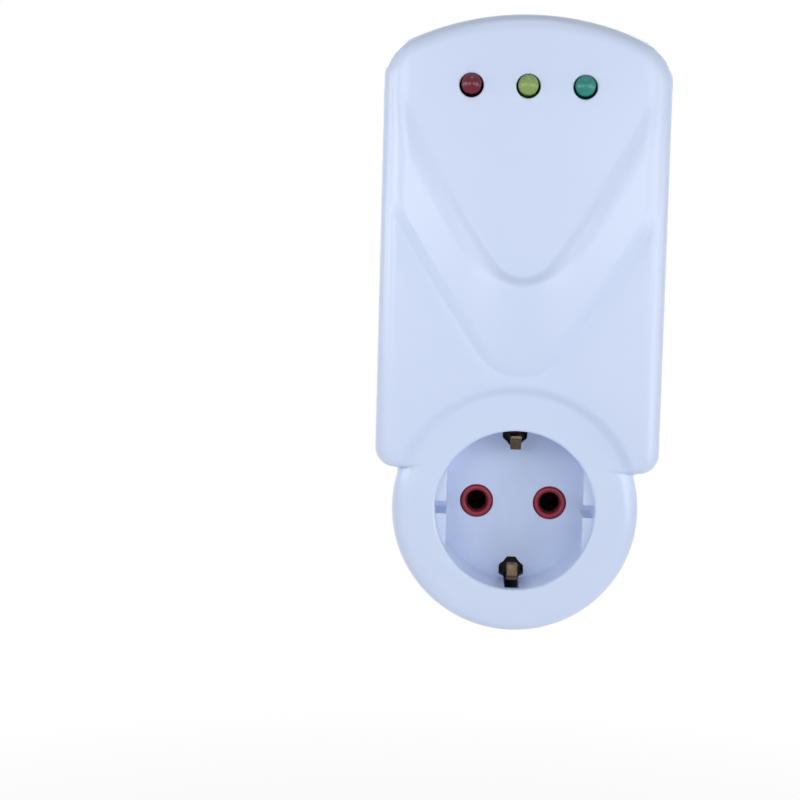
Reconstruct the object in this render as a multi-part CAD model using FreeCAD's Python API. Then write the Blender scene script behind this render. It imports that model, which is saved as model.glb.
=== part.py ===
import FreeCAD, Part

import math
import os

# Plug-in voltage protector: a white moulded housing with three signal lamps at the top,
# an earthed round socket at the bottom of its front and an earthed round plug on its back.
# All lengths are in millimetres.
# X runs to the right as seen from the front, Y runs from the front towards the wall, Z runs up.
# The origin is the centre of the plug's face, midway between its two pins.

# Housing outline, seen from the front
body_width = 70.8
body_top = 122.5
body_bottom = 10.2
top_arc_radius = 69.0
top_corner_radius = 10.0
bottom_corner_radius = 5.0
disc_diameter = 62.0

# Housing depths
plug_depth = 18.5
rear_depth = 14.0
front_depth = 26.0
disc_drop = 3.5
wall = 2.5
front_edge_radius = 4.2
disc_edge_radius = 4.5
back_edge_bevel = 1.8
rib_height = 1.5
rib_thickness = 1.2
rib_clearance = 0.15
rib_end_gap = 6.0

# Curved step down from the body to the ring around the socket
step_foot_radius = 28.6
step_run = 3.4
step_rolls = 4

# Nested chevrons on the front: each has a round tip and two arms that lean at the bend and bow slightly
outer_tip_z = 34.2
outer_bend_radius = 12.0
outer_lean_degrees = 55.0
outer_arm_radius = 570.0
inner_tip_z = 57.2
inner_bend_radius = 9.5
inner_lean_degrees = 57.0
inner_arm_radius = 263.0
chevron_edge_height = 1.5
chevron_wall_run = 1.3
crest_height = 2.4
crest_offset = 4.6
crest_lift = 0.5
panel_height = 1.3

# Socket recess
recess_radius = 20.0
recess_depth = 17.5
floor_thickness = 2.5
cup_wall = 2.2
rim_bevel = 0.8
pad_chord = 17.2
pad_half_height = 9.5
pad_slot_half = 1.6
pad_sink = 2.8
window_apex = 14.4
window_shoulder = 16.8
window_side = 18.8
window_half_width = 3.3
wall_slot_width = 3.8
wall_slot_sink = 2.8

# Socket pin holes, sleeves and contacts
pin_pitch = 19.0
sleeve_radius = 4.3
sleeve_bore_radius = 2.7
sleeve_proud = 0.4
seat_clearance = 0.05
contact_outer_radius = 3.3
contact_bore_radius = 2.4
contact_length = 19.0
contact_cap = 2.0
contact_slit = 0.8
contact_slit_length = 13.0
contact_clearance = 0.1
carrier_half_width = 21.6
carrier_half_height = 9.0
carrier_corner = 3.0
carrier_screw_x = 19.4
carrier_screw_z = 5.0
carrier_screw_radius = 1.1
carrier_screw_length = 18.0
small_head_radius = 2.1
small_head_height = 1.4

# Earth metalwork
earth_thickness = 0.8
bridge_width = 5.0
clip_width = 2.7
clip_thickness = 0.6
clip_nose_radius = 14.4
clip_nose_depth = 10.2
clip_tip_radius = 18.6
clip_tip_depth = 6.0
clip_root_radius = 19.6
clip_gap = 0.3

# Plug
plug_radius = 18.5
plug_flat_inset = 1.7
plug_rib_width = 2.6
plug_edge_bevel = 1.0
insert_clearance = 0.1
insert_depth = 6.0
ledge_depth = 1.5
ledge_width = 1.4
ledge_root = 0.1
pin_radius = 2.4
pin_length = 19.0
pin_tip_bevel = 1.1
pin_collar_radius = 3.8
pin_collar_depth = 1.2
collar_clearance = 0.1
pin_tail = 2.0
pin_root_radius = 3.0
pin_clearance = 0.05
link_radius = 1.4
strip_width = 4.0
strip_clearance = 0.3
strip_sink = 0.9
strip_end_gap = 1.2
strip_inner_reach = 8.0

# Housing screws
screw_inset = 7.9
upper_screw_z = 104.0
lower_screw_z = 20.5
boss_radius = 3.6
pillar_radius = 4.2
counterbore_radius = 3.2
counterbore_depth = 8.5
screw_radius = 1.45
screw_clearance = 0.1
screw_head_radius = 2.8
screw_head_height = 2.0
screw_grip = 9.0
cross_slot_width = 0.8
cross_slot_depth = 1.0
cross_slot_share = 0.7

# Lamps
lamp_z = 104.7
lamp_pitch = 13.85
lamp_hole_radius = 2.95
lamp_radius = 2.5
lamp_length = 8.6
lamp_flange_radius = 3.3
lamp_flange = 1.0
lamp_proud = 1.1
dome_flatness = 0.8
dome_start = 0.4
lead_pitch = 2.54
lead_width = 0.5

# Circuit board
board_depth = 21.5
board_thickness = 1.6
board_gap = 0.9
board_low = 36.5
board_high = 113.5
board_corner = 6.0
post_inset = 3.0
post_low_z = 40.5
post_high_z = 98.0
post_radius = 2.6
post_screw_radius = 1.1
post_screw_length = 8.0

# Relay on the board
relay_x = -9.0
relay_z = 66.0
relay_width = 15.5
relay_length = 19.0
relay_height = 15.2
relay_wall = 0.8
relay_base_height = 1.6
coil_radius = 4.7
flange_radius = 5.0
flange_thickness = 0.7
coil_length = 6.0
core_radius = 1.8
pole_radius = 2.7
pole_thickness = 0.7
yoke_thickness = 1.0
yoke_width = 8.0
yoke_back = 7.2
armature_thickness = 0.9
armature_gap = 0.3
armature_reach = 3.6
pole_gap = 0.75
leaf_thickness = 0.3
leaf_width = 3.4
contact_reach = 6.4
rivet_radius = 1.2
rivet_height = 0.6
rivet_gap = 0.3
contact_travel = 0.95
bar_thickness = 0.5
bar_outset = 7.9
relay_pin_length = 3.4
relay_pin_width = 0.9
relay_pin_places = ((-6.0, -7.0), (6.0, -7.0), (0.0, -7.8), (-4.0, 7.6), (4.0, 7.6))

# Other board parts: place across and up, then sizes
film_capacitor_place = (12.0, 84.0)
film_capacitor_size = (17.5, 7.5, 13.0)
large_capacitor_place = (13.5, 68.0)
large_capacitor_size = (5.0, 16.0)
small_capacitor_place = (4.2, 56.0)
small_capacitor_size = (3.15, 11.0)
varistor_place = (-8.5, 46.0)
varistor_radius = 5.5
varistor_thickness = 4.0
varistor_stand = 2.0
fuse_place = (11.0, 47.5)
fuse_length = 20.0
fuse_radius = 2.5
fuse_cap_length = 5.0
fuse_cap_wall = 0.15
fuse_height = 4.2
holder_wall = 0.4
holder_length = 3.4
holder_foot_width = 3.4
holder_mouth_width = 3.0
chip_place = (-12.5, 88.2)
chip_size = (9.6, 6.4, 3.3)
chip_stand = 0.5
chip_pin_pitch = 2.54
chip_pin_columns = 4
resistor_row_z = 96.9
resistor_first_x = -9.0
resistor_pitch = 6.0
resistor_count = 4
resistor_length = 6.3
resistor_radius = 1.2
diode_row_z = 80.1
diode_first_x = -16.0
diode_pitch = 4.6
diode_count = 4
diode_length = 5.2
diode_radius = 1.35
axial_lead_radius = 0.35
driver_place = (2.0, 75.5)
driver_radius = 2.3
driver_height = 4.8
driver_stand = 3.0
tab_row_z = 40.5
tab_places = (-9.5, -3.5, 9.5)
tab_width = 4.8
tab_thickness = 0.8
tab_height = 6.5

# Inner conductor strips
throat_z = 12.3
throat_y = -24.0
feed_strip_width = 2.0
feed_strip_thickness = 0.8

# Levels along Y, worked out from the depths
back_y = -plug_depth
split_y = back_y - rear_depth
main_y = split_y - front_depth
ring_y = main_y + disc_drop
floor_y = ring_y + recess_depth
floor_back_y = floor_y + floor_thickness
rear_inside_y = back_y - wall
carrier_back_y = rear_inside_y - 2 * earth_thickness
panel_y = main_y - panel_height
crest_y = main_y - crest_height
board_y = main_y + board_depth
board_back_y = board_y + board_thickness

# Places and radii that follow from the sizes above
pin_x = pin_pitch / 2
disc_radius = disc_diameter / 2
outer_chevron = (outer_tip_z, outer_bend_radius, outer_lean_degrees, outer_arm_radius)
inner_chevron = (inner_tip_z, inner_bend_radius, inner_lean_degrees, inner_arm_radius)
plug_flat_chord = plug_radius - plug_flat_inset
plug_bore_radius = pin_x + pin_collar_radius + collar_clearance + ledge_width
screw_x = body_width / 2 - screw_inset
board_half_width = screw_x - boss_radius - board_gap
post_x = board_half_width - post_inset

# Flats: small hidden round pieces, round pieces that repeat, and the rolled rims and domes
small_sides = 8
round_sides = 16
ring_sides = 20
large_sides = 32
rim_flats = 3
dome_rings = 2

# Allowances for cutting
overrun = 1.0
crest_room = 0.3
arm_overrun = 6.0
inner_foot_share = 0.8
far = 60.0


def vec(x, y, z):
    """A point or direction."""
    return FreeCAD.Vector(x, y, z)


def rod(x, z, y0, y1, radius):
    """Round bar along Y from y0 to y1."""
    return Part.makeCylinder(radius, y1 - y0, vec(x, y0, z), vec(0, 1, 0))


def flat_ring(centre, along, radius, sides):
    """Even polygon square to a direction; its flats lie at the radius."""
    across = vec(0, 0, 1) if abs(along.z) < abs(along.x) + abs(along.y) else vec(1, 0, 0)
    upright = along.cross(across).normalize()
    across = upright.cross(along).normalize()
    corner = radius / math.cos(math.pi / sides)
    points = []
    for i in range(sides + 1):
        turn = math.pi * (2 * (i % sides) + 1) / sides
        points.append(centre + across * (corner * math.cos(turn)) + upright * (corner * math.sin(turn)))
    return Part.makePolygon(points)


def flat_bar(start, run, radius, sides):
    """Bar with even flats from a start point along a run."""
    return Part.Face(flat_ring(start, run, radius, sides)).extrude(run)


def flat_rod(x, z, y0, y1, radius, sides=small_sides):
    """Bar with even flats along Y from y0 to y1."""
    return flat_bar(vec(x, y0, z), vec(0, y1 - y0, 0), radius, sides)


def block(x0, x1, y0, y1, z0, z1):
    """Rectangular block between two corners."""
    return Part.makeBox(x1 - x0, y1 - y0, z1 - z0, vec(x0, y0, z0))


def centred_block(x, z, width, height, y0, y1):
    """Rectangular block centred on a place across and up."""
    return block(x - width / 2, x + width / 2, y0, y1, z - height / 2, z + height / 2)


def line(a, b):
    """Straight edge between two points."""
    return Part.LineSegment(a, b).toShape()


def arc(a, mid, b):
    """Circular edge through three points."""
    return Part.Arc(a, mid, b).toShape()


def polygon_prism(points, y0, y1):
    """Prism along Y whose outline is a list of places across and up."""
    corners = [vec(x, y0, z) for x, z in points]
    wire = Part.makePolygon(corners + corners[:1])
    return Part.Face(wire).extrude(vec(0, y1 - y0, 0))


def solid_of_rings(rings):
    """Solid with flat faces through a stack of even rings that have as many corners each."""
    faces = [Part.Face(rings[0]), Part.Face(rings[-1])]
    for low, high in zip(rings[:-1], rings[1:]):
        a = [v.Point for v in low.OrderedVertexes]
        b = [v.Point for v in high.OrderedVertexes]
        for i in range(len(a)):
            j = (i + 1) % len(a)
            faces.append(Part.Face(Part.makePolygon([a[i], a[j], b[j], b[i], a[i]])))
    return Part.Solid(Part.Shell(faces))


def profile_prism(points, x0, x1):
    """Prism along X whose outline is a list of places in depth and height."""
    corners = [vec(x0, y, z) for y, z in points]
    wire = Part.makePolygon(corners + corners[:1])
    return Part.Face(wire).extrude(vec(x1 - x0, 0, 0))


def turned_profile(profile, x, z):
    """Solid turned about the line along Y through a place, from corners given as radius and depth."""
    points = [vec(r, y, 0) for r, y in profile]
    face = Part.Face(Part.makePolygon(points + points[:1]))
    solid = face.revolve(vec(0, 0, 0), vec(0, 1, 0), 360)
    solid.translate(vec(x, 0, z))
    return solid


def joined(shapes):
    """One solid from several that touch or overlap."""
    first = shapes[0]
    return first.fuse(shapes[1:]).removeSplitter()


def mirrored_z(shape):
    """The same shape turned to the other end, top for bottom."""
    return shape.mirror(vec(0, 0, 0), vec(0, 0, 1))


def body_wire(inset, y):
    """Outline of the upper body, drawn in by inset: straight sides, round corners, arched top."""
    half = body_width / 2 - inset
    low = body_bottom + inset
    foot = bottom_corner_radius - inset * inner_foot_share
    corner = top_corner_radius - inset
    arch = top_arc_radius - inset
    arch_z = body_top - top_arc_radius
    corner_x = body_width / 2 - top_corner_radius
    reach = top_arc_radius - top_corner_radius
    corner_rise = math.sqrt(reach ** 2 - corner_x ** 2)
    corner_z = arch_z + corner_rise
    lean = math.atan2(corner_rise, corner_x)
    meet_x = arch * math.cos(lean)
    meet_z = arch_z + arch * math.sin(lean)
    bend_x = corner_x + corner * math.cos(lean / 2)
    bend_z = corner_z + corner * math.sin(lean / 2)
    short = foot * (1 - math.sqrt(0.5))
    edges = [
        line(vec(-half + foot, y, low), vec(half - foot, y, low)),
        arc(vec(half - foot, y, low), vec(half - short, y, low + short), vec(half, y, low + foot)),
        line(vec(half, y, low + foot), vec(half, y, corner_z)),
        arc(vec(half, y, corner_z), vec(bend_x, y, bend_z), vec(meet_x, y, meet_z)),
        arc(vec(meet_x, y, meet_z), vec(0, y, body_top - inset), vec(-meet_x, y, meet_z)),
        arc(vec(-meet_x, y, meet_z), vec(-bend_x, y, bend_z), vec(-half, y, corner_z)),
        line(vec(-half, y, corner_z), vec(-half, y, low + foot)),
        arc(vec(-half, y, low + foot), vec(-half + short, y, low + short), vec(-half + foot, y, low)),
    ]
    return Part.Wire(edges)


def level_rim(solid, level):
    """Edges of a solid that lie in the plane y = level."""
    return [e for e in solid.Edges if e.BoundBox.YMin > level - 0.01 and e.BoundBox.YMax < level + 0.01]


def round_rim(solid, level, radius):
    """Rounds the rim that lies in the plane y = level."""
    return solid.makeFillet(radius, level_rim(solid, level))


def body_block(inset, y_from, y_to):
    """Upper body as a solid between two levels, with sharp rims."""
    return Part.Face(body_wire(inset, y_from)).extrude(vec(0, y_to - y_from, 0))


def rounded_body(y_to):
    """Upper body from the parting plane to a front level, with its front rim rounded."""
    return round_rim(body_block(0, split_y, y_to), y_to, front_edge_radius)


def bevelled_rod(x, z, y_flat, y_bevelled, radius, bevel):
    """Round bar along Y with an even bevel at the end y_bevelled."""
    side = 1 if y_bevelled > y_flat else -1
    shoulder = y_bevelled - side * bevel
    straight = rod(x, z, min(y_flat, shoulder), max(y_flat, shoulder), radius)
    cone = Part.makeCone(radius, radius - bevel, bevel, vec(x, shoulder, z), vec(0, side, 0))
    return straight.fuse(cone).removeSplitter()


def ring_disc():
    """Round lower front, with its rim rolled over in even bevels."""
    profile = [(0, split_y), (0, ring_y)]
    for i in range(rim_flats + 1):
        turn = math.pi / 2 * i / rim_flats
        profile.append((disc_radius - disc_edge_radius * (1 - math.sin(turn)),
                        ring_y + disc_edge_radius * (1 - math.cos(turn))))
    profile.append((disc_radius, split_y))
    return turned_profile(profile, 0, 0)


def step_cutter():
    """Clears the ring around the socket: a turned S-shaped wall from the ring's level to the body's."""
    top = step_foot_radius + step_run
    profile = [(0, ring_y)]
    for i in range(step_rolls + 1):
        share = i / step_rolls
        rise = (1 - math.cos(math.pi * share)) / 2
        profile.append((step_foot_radius + step_run * share, ring_y - disc_drop * rise))
    profile.append((top, main_y - crest_height - overrun))
    profile.append((0, main_y - crest_height - overrun))
    return turned_profile(profile, 0, 0)


def chevron_wire(chevron, grow, y):
    """Closed V outline open to the top: round tip, two slightly bowed arms, ends outside the body."""
    tip, bend, lean_degrees, arm = chevron
    lean = math.radians(lean_degrees)
    centre_z = tip + bend
    arm_x = -(arm - bend) * math.sin(lean)
    arm_z = centre_z + (arm - bend) * math.cos(lean)
    arm_r = arm + grow
    end_x = body_width / 2 + arm_overrun
    end_angle = math.asin((end_x - arm_x) / arm_r)
    end_z = arm_z - arm_r * math.cos(end_angle)
    mid_angle = (lean + end_angle) / 2
    mid = (arm_x + arm_r * math.sin(mid_angle), arm_z - arm_r * math.cos(mid_angle))
    start = ((bend + grow) * math.sin(lean), centre_z - (bend + grow) * math.cos(lean))
    high = body_top + far
    edges = [
        arc(vec(-start[0], y, start[1]), vec(0, y, tip - grow), vec(start[0], y, start[1])),
        arc(vec(start[0], y, start[1]), vec(mid[0], y, mid[1]), vec(end_x, y, end_z)),
        line(vec(end_x, y, end_z), vec(end_x, y, high)),
        line(vec(end_x, y, high), vec(-end_x, y, high)),
        line(vec(-end_x, y, high), vec(-end_x, y, end_z)),
        arc(vec(-end_x, y, end_z), vec(-mid[0], y, mid[1]), vec(-start[0], y, start[1])),
    ]
    return Part.Wire(edges)


def chevron_band():
    """Raised V-shaped band: a steep outer wall, a slope that climbs to the crest, a sunken panel inside."""
    edge_y = main_y - chevron_edge_height
    root = Part.makeLoft(
        [chevron_wire(outer_chevron, 2 * chevron_wall_run, main_y + chevron_edge_height),
         chevron_wire(outer_chevron, 0, edge_y)], True, True)
    slope = Part.makeLoft(
        [chevron_wire(outer_chevron, 0, edge_y),
         chevron_wire(inner_chevron, 0, crest_y - crest_lift)], True, True)
    drop = (crest_height - panel_height) / crest_offset
    hollow = Part.makeLoft(
        [chevron_wire(inner_chevron, 0, panel_y),
         chevron_wire(inner_chevron, crest_offset + overrun / drop, crest_y - overrun)], True, True)
    band = root.fuse(slope).cut(hollow)
    return band.common(rounded_body(crest_y - crest_room))


def chevron_panel():
    """Flat panel inside the inner chevron, up to the rounded top of the body."""
    base = Part.Face(chevron_wire(inner_chevron, crest_offset, split_y))
    return base.extrude(vec(0, panel_y - split_y, 0)).common(rounded_body(panel_y))


def recess_cutter():
    """Round hollow of the socket, opened by a small bevel at its rim."""
    hollow = rod(0, 0, ring_y - overrun, floor_y, recess_radius)
    depth = rim_bevel + overrun
    start = vec(0, ring_y - overrun, 0)
    bevel = Part.makeCone(recess_radius + depth, recess_radius, depth, start, vec(0, 1, 0))
    return hollow.fuse(bevel)


def guide_pads():
    """Four guide pads at three and nine o'clock, two on each side of a slot."""
    ring = rod(0, 0, ring_y + pad_sink, floor_y, recess_radius + cup_wall / 2)
    slabs = []
    for side in (-1, 1):
        x_in = side * pad_chord
        x_out = side * (recess_radius + cup_wall)
        for low, high in ((-pad_half_height, -pad_slot_half), (pad_slot_half, pad_half_height)):
            slabs.append(block(min(x_in, x_out), max(x_in, x_out), ring_y, floor_y, low, high).common(ring))
    return slabs


def earth_window():
    """Opening in the floor for the upper earth clip, and its slot up the wall."""
    half = wall_slot_width / 2
    behind = recess_radius + cup_wall + overrun
    outline = [
        (0, window_apex), (window_half_width, window_shoulder), (window_half_width, window_side),
        (half, recess_radius), (half, behind), (-half, behind),
        (-half, recess_radius), (-window_half_width, window_side), (-window_half_width, window_shoulder),
    ]
    window = polygon_prism(outline, floor_y - overrun, floor_back_y + overrun)
    slot = block(-half, half, ring_y + wall_slot_sink, floor_back_y + overrun,
                 recess_radius - overrun, behind)
    return window.fuse(slot)


def screw_places():
    """Places of the four housing screws, across and up."""
    return [(side * screw_x, z) for z in (upper_screw_z, lower_screw_z) for side in (-1, 1)]


def post_places():
    """Places of the posts that carry the circuit board."""
    return [(side * post_x, z) for z in (post_low_z, post_high_z) for side in (-1, 1)]


def front_cover():
    """Front cover: one moulding with the chevrons, the stepped ring, the socket cup and the screw bosses."""
    outer = joined([rounded_body(main_y), chevron_band(), chevron_panel(), ring_disc()])
    outer = outer.cut(step_cutter())
    hollow = joined([
        body_block(wall, split_y + overrun, main_y + wall),
        flat_rod(0, 0, ring_y + wall, split_y + overrun, disc_radius - wall, large_sides),
    ])
    step_back_radius = step_foot_radius + step_run + wall
    hollow = hollow.cut(flat_rod(0, 0, main_y, ring_y + wall, step_back_radius, large_sides))
    hollow = hollow.cut(flat_rod(0, 0, ring_y, floor_back_y, recess_radius + cup_wall, large_sides))
    for x, z in screw_places():
        hollow = hollow.cut(flat_rod(x, z, main_y, split_y, boss_radius))
    for x, z in post_places():
        hollow = hollow.cut(flat_rod(x, z, main_y, board_y, post_radius))
    cover = outer.cut(hollow).cut(recess_cutter())
    cover = joined([cover] + guide_pads())
    cutters = [earth_window(), mirrored_z(earth_window())]
    for side in (-1, 1):
        cutters.append(flat_rod(side * pin_x, 0, floor_y - overrun, floor_back_y + overrun,
                                sleeve_radius + seat_clearance, ring_sides))
        cutters.append(flat_rod(side * carrier_screw_x, side * carrier_screw_z,
                                carrier_back_y - carrier_screw_length - overrun, floor_back_y + overrun,
                                carrier_screw_radius + screw_clearance))
    for x, z in screw_places():
        cutters.append(flat_rod(x, z, split_y - screw_grip - overrun, split_y + overrun,
                                screw_radius + screw_clearance))
    for x, z in post_places():
        cutters.append(flat_rod(x, z, board_y - post_screw_length, board_y + overrun,
                                post_screw_radius + screw_clearance))
    for column in (-1, 0, 1):
        cutters.append(flat_rod(column * lamp_pitch, lamp_z, crest_y - overrun, main_y + wall + overrun,
                                lamp_hole_radius, ring_sides))
    for cutter in cutters:
        cover = cover.cut(cutter)
    return cover


def plug_shell():
    """Round plug body on the back, with flats, ribs and two channels for its earth strips."""
    outer = bevelled_rod(0, 0, rear_inside_y, 0, plug_radius, plug_edge_bevel)
    for side in (-1, 1):
        near = side * plug_flat_chord
        edge = side * (plug_radius + overrun)
        low_x = min(near, edge)
        high_x = max(near, edge)
        for low, high in ((-plug_radius, -plug_rib_width / 2), (plug_rib_width / 2, plug_radius)):
            outer = outer.cut(block(low_x, high_x, back_y, overrun, low, high))
    half = strip_width / 2 + strip_clearance
    channel_floor = plug_radius - strip_sink - earth_thickness
    for side in (-1, 1):
        near = side * channel_floor
        edge = side * (plug_radius + overrun)
        low = min(near, edge)
        high = max(near, edge)
        outer = outer.cut(block(-half, half, rear_inside_y - overrun, overrun, low, high))
    return outer


def bevelled_body():
    """Upper body of the rear cover, with its back rim bevelled."""
    solid = body_block(0, split_y, back_y)
    return solid.makeChamfer(back_edge_bevel, level_rim(solid, back_y))


def locating_rib(side):
    """Rib on the rear cover that slides inside one straight side wall of the front cover."""
    outer = side * (body_width / 2 - wall - rib_clearance)
    inner = outer - side * rib_thickness
    seat = side * (body_width / 2 - wall / 2)
    low = body_bottom + bottom_corner_radius + rib_end_gap
    high = upper_screw_z - rib_end_gap
    rib = block(min(outer, inner), max(outer, inner), split_y - rib_height, split_y + overrun, low, high)
    root = block(min(seat, inner), max(seat, inner), split_y, split_y + overrun, low, high)
    return joined([rib, root])


def rear_cover():
    """Rear cover: shallow shell with the plug body, the screw pillars and two locating ribs."""
    outer = joined([bevelled_body(), bevelled_rod(0, 0, split_y, back_y, disc_radius, back_edge_bevel)])
    hollow = joined([
        body_block(wall, split_y - overrun, rear_inside_y),
        flat_rod(0, 0, split_y - overrun, rear_inside_y, disc_radius - wall, large_sides),
    ])
    for x, z in screw_places():
        hollow = hollow.cut(flat_rod(x, z, split_y, rear_inside_y, pillar_radius))
    throat = flat_rod(0, 0, rear_inside_y - overrun, overrun, plug_bore_radius, large_sides)
    ledge_back_y = -insert_depth - ledge_depth
    ledge = flat_rod(0, 0, ledge_back_y, -insert_depth, plug_bore_radius + ledge_root, large_sides)
    ledge = ledge.cut(flat_rod(0, 0, -far, 0, plug_bore_radius - ledge_width, large_sides))
    cover = joined([outer.cut(hollow), plug_shell()]).cut(throat)
    cover = joined([cover, ledge, locating_rib(-1), locating_rib(1)])
    slot_half = strip_width / 2 + strip_clearance
    slot_low = plug_radius - strip_sink - earth_thickness
    slot_high = plug_radius - strip_sink + strip_clearance
    for side in (-1, 1):
        low = min(side * slot_low, side * slot_high)
        high = max(side * slot_low, side * slot_high)
        cover = cover.cut(block(-slot_half, slot_half, rear_inside_y - overrun, back_y + overrun, low, high))
    for x, z in screw_places():
        cover = cover.cut(flat_rod(x, z, split_y - overrun, back_y + overrun,
                                   screw_radius + 2 * screw_clearance))
        cover = cover.cut(flat_rod(x, z, back_y - counterbore_depth, back_y + overrun, counterbore_radius,
                                   round_sides))
    return cover


def cross_cutter(x, z, top_y, reach):
    """Cross-shaped drive of a screw head whose face lies at top_y."""
    half = cross_slot_width / 2
    low = top_y - cross_slot_depth
    high = top_y + overrun
    flat = block(x - reach, x + reach, low, high, z - half, z + half)
    upright = block(x - half, x + half, low, high, z - reach, z + reach)
    return flat.fuse(upright)


def screw(x, z, seat_y, length, radius, head_radius, head_height, sides):
    """Screw put in from the back: its head seats at seat_y and its shank runs to the front."""
    shank = flat_rod(x, z, seat_y - length, seat_y, radius)
    head = flat_rod(x, z, seat_y, seat_y + head_height, head_radius, sides)
    return shank.fuse(head)


def housing_screws():
    """Four long cross-head screws that hold the two covers together."""
    seat = back_y - counterbore_depth
    length = seat - split_y + screw_grip
    reach = screw_head_radius * cross_slot_share
    return Part.makeCompound([
        screw(x, z, seat, length, screw_radius, screw_head_radius, screw_head_height, round_sides).cut(
            cross_cutter(x, z, seat + screw_head_height, reach))
        for x, z in screw_places()])


def board_screws():
    """Four short screws that hold the circuit board to its posts."""
    length = post_screw_length - overrun + board_thickness
    return Part.makeCompound([
        screw(x, z, board_back_y, length, post_screw_radius, small_head_radius, small_head_height,
              small_sides)
        for x, z in post_places()])


def carrier_screws():
    """Two screws that hold the contact carrier to the back of the socket cup."""
    return Part.makeCompound([
        screw(side * carrier_screw_x, side * carrier_screw_z, carrier_back_y, carrier_screw_length,
              carrier_screw_radius, small_head_radius, small_head_height, small_sides)
        for side in (-1, 1)])


def socket_sleeve(x):
    """Red sleeve that lines one pin hole of the socket."""
    front = floor_y - sleeve_proud
    body = flat_rod(x, 0, front, floor_back_y, sleeve_radius, ring_sides)
    return body.cut(rod(x, 0, front - overrun, floor_back_y + overrun, sleeve_bore_radius))


def socket_contact(x):
    """Brass tube that grips a pin: split at the front, closed at the back."""
    back = floor_back_y + contact_length
    tube = flat_rod(x, 0, floor_back_y, back, contact_outer_radius)
    bore = flat_rod(x, 0, floor_back_y - overrun, back - contact_cap, contact_bore_radius)
    slit = block(x - contact_slit / 2, x + contact_slit / 2, floor_back_y - overrun,
                 floor_back_y + contact_slit_length, -far, far)
    return tube.cut(bore).cut(slit)


def contact_carrier():
    """Moulded block behind the socket floor that holds both contacts and the earth bridge."""
    half_x = carrier_half_width
    half_z = carrier_half_height
    cut = carrier_corner
    outline = [
        (-half_x + cut, -half_z), (half_x - cut, -half_z), (half_x, -half_z + cut), (half_x, half_z - cut),
        (half_x - cut, half_z), (-half_x + cut, half_z), (-half_x, half_z - cut), (-half_x, -half_z + cut),
    ]
    carrier = polygon_prism(outline, floor_back_y, carrier_back_y)
    for side in (-1, 1):
        carrier = carrier.cut(flat_rod(side * pin_x, 0, floor_back_y - overrun, carrier_back_y + overrun,
                                       contact_outer_radius + contact_clearance))
        carrier = carrier.cut(flat_rod(side * carrier_screw_x, side * carrier_screw_z, floor_back_y - overrun,
                                       carrier_back_y + overrun, carrier_screw_radius + screw_clearance))
    return carrier


def earth_bridge():
    """Bent brass strap across the back of the carrier, with a foot beside each earth clip."""
    t = earth_thickness
    inner = carrier_half_height
    web_back = carrier_back_y + t
    foot_front = floor_back_y
    foot_end = clip_root_radius - clip_thickness / 2 - clip_gap
    outline = [
        (web_back, -inner - t), (web_back, inner + t), (foot_front + t, inner + t),
        (foot_front + t, foot_end), (foot_front, foot_end), (foot_front, inner),
        (carrier_back_y, inner), (carrier_back_y, -inner), (foot_front, -inner),
        (foot_front, -foot_end), (foot_front + t, -foot_end), (foot_front + t, -inner - t),
    ]
    return profile_prism(outline, -bridge_width / 2, bridge_width / 2)


def strip_band(points, thickness):
    """Outline of a bent strip of even thickness along a line of places in depth and height."""
    left = []
    right = []
    for i, (y, z) in enumerate(points):
        before = points[max(i - 1, 0)]
        after = points[min(i + 1, len(points) - 1)]
        dirs = []
        for a, b in ((before, (y, z)), ((y, z), after)):
            length = math.hypot(b[0] - a[0], b[1] - a[1])
            if length > 0:
                dirs.append(((b[0] - a[0]) / length, (b[1] - a[1]) / length))
        mean_y = sum(d[0] for d in dirs) / len(dirs)
        mean_z = sum(d[1] for d in dirs) / len(dirs)
        size = mean_y ** 2 + mean_z ** 2
        off_y = -mean_z / size * thickness / 2
        off_z = mean_y / size * thickness / 2
        left.append((y + off_y, z + off_z))
        right.append((y - off_y, z - off_z))
    return left + right[::-1]


def earth_clip():
    """Upper earth clip: a bent spring strip that leans into the recess and folds back to its tip."""
    root = (floor_back_y + earth_thickness / 2, clip_root_radius)
    nose_y = ring_y + clip_nose_depth
    tip_y = ring_y + clip_tip_depth
    fold = clip_thickness
    points = [
        root,
        (nose_y + fold, clip_nose_radius + fold / 4),
        (nose_y - fold / 2, clip_nose_radius + fold / 4),
        (tip_y + fold, clip_tip_radius - fold / 4),
        (tip_y - fold, clip_tip_radius + fold / 4),
    ]
    half = clip_width / 2
    strip = profile_prism(strip_band(points, clip_thickness), -half, half)
    knuckle = flat_bar(vec(-half, root[0], root[1]), vec(clip_width, 0, 0), clip_thickness / 2, small_sides)
    return joined([strip, knuckle])


def plug_insert():
    """Round insert that closes the plug and holds its two pins; its outer face is the plug's face."""
    insert = flat_rod(0, 0, -insert_depth, 0, plug_bore_radius - insert_clearance, large_sides)
    for side in (-1, 1):
        insert = insert.cut(flat_rod(side * pin_x, 0, -insert_depth - overrun, overrun,
                                     pin_root_radius + pin_clearance, round_sides))
    return insert


def plug_pin(x):
    """Plug pin with a bevelled tip, a thicker root, a collar behind the insert and a short tail."""
    collar_y = -insert_depth - pin_collar_depth
    shoulder = pin_length - pin_tip_bevel
    shaft = rod(x, 0, -insert_depth / 2, shoulder, pin_radius)
    inset = math.cos(math.pi / ring_sides)
    tip = solid_of_rings([
        flat_ring(vec(x, shoulder, 0), vec(0, 1, 0), pin_radius * inset, ring_sides),
        flat_ring(vec(x, pin_length, 0), vec(0, 1, 0), (pin_radius - pin_tip_bevel) * inset, ring_sides)])
    root = flat_rod(x, 0, -insert_depth, 0, pin_root_radius, round_sides)
    collar = flat_rod(x, 0, collar_y, -insert_depth, pin_collar_radius, round_sides)
    tail = flat_rod(x, 0, collar_y - pin_tail, collar_y, pin_radius)
    return joined([shaft, tip, root, collar, tail])


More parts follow.
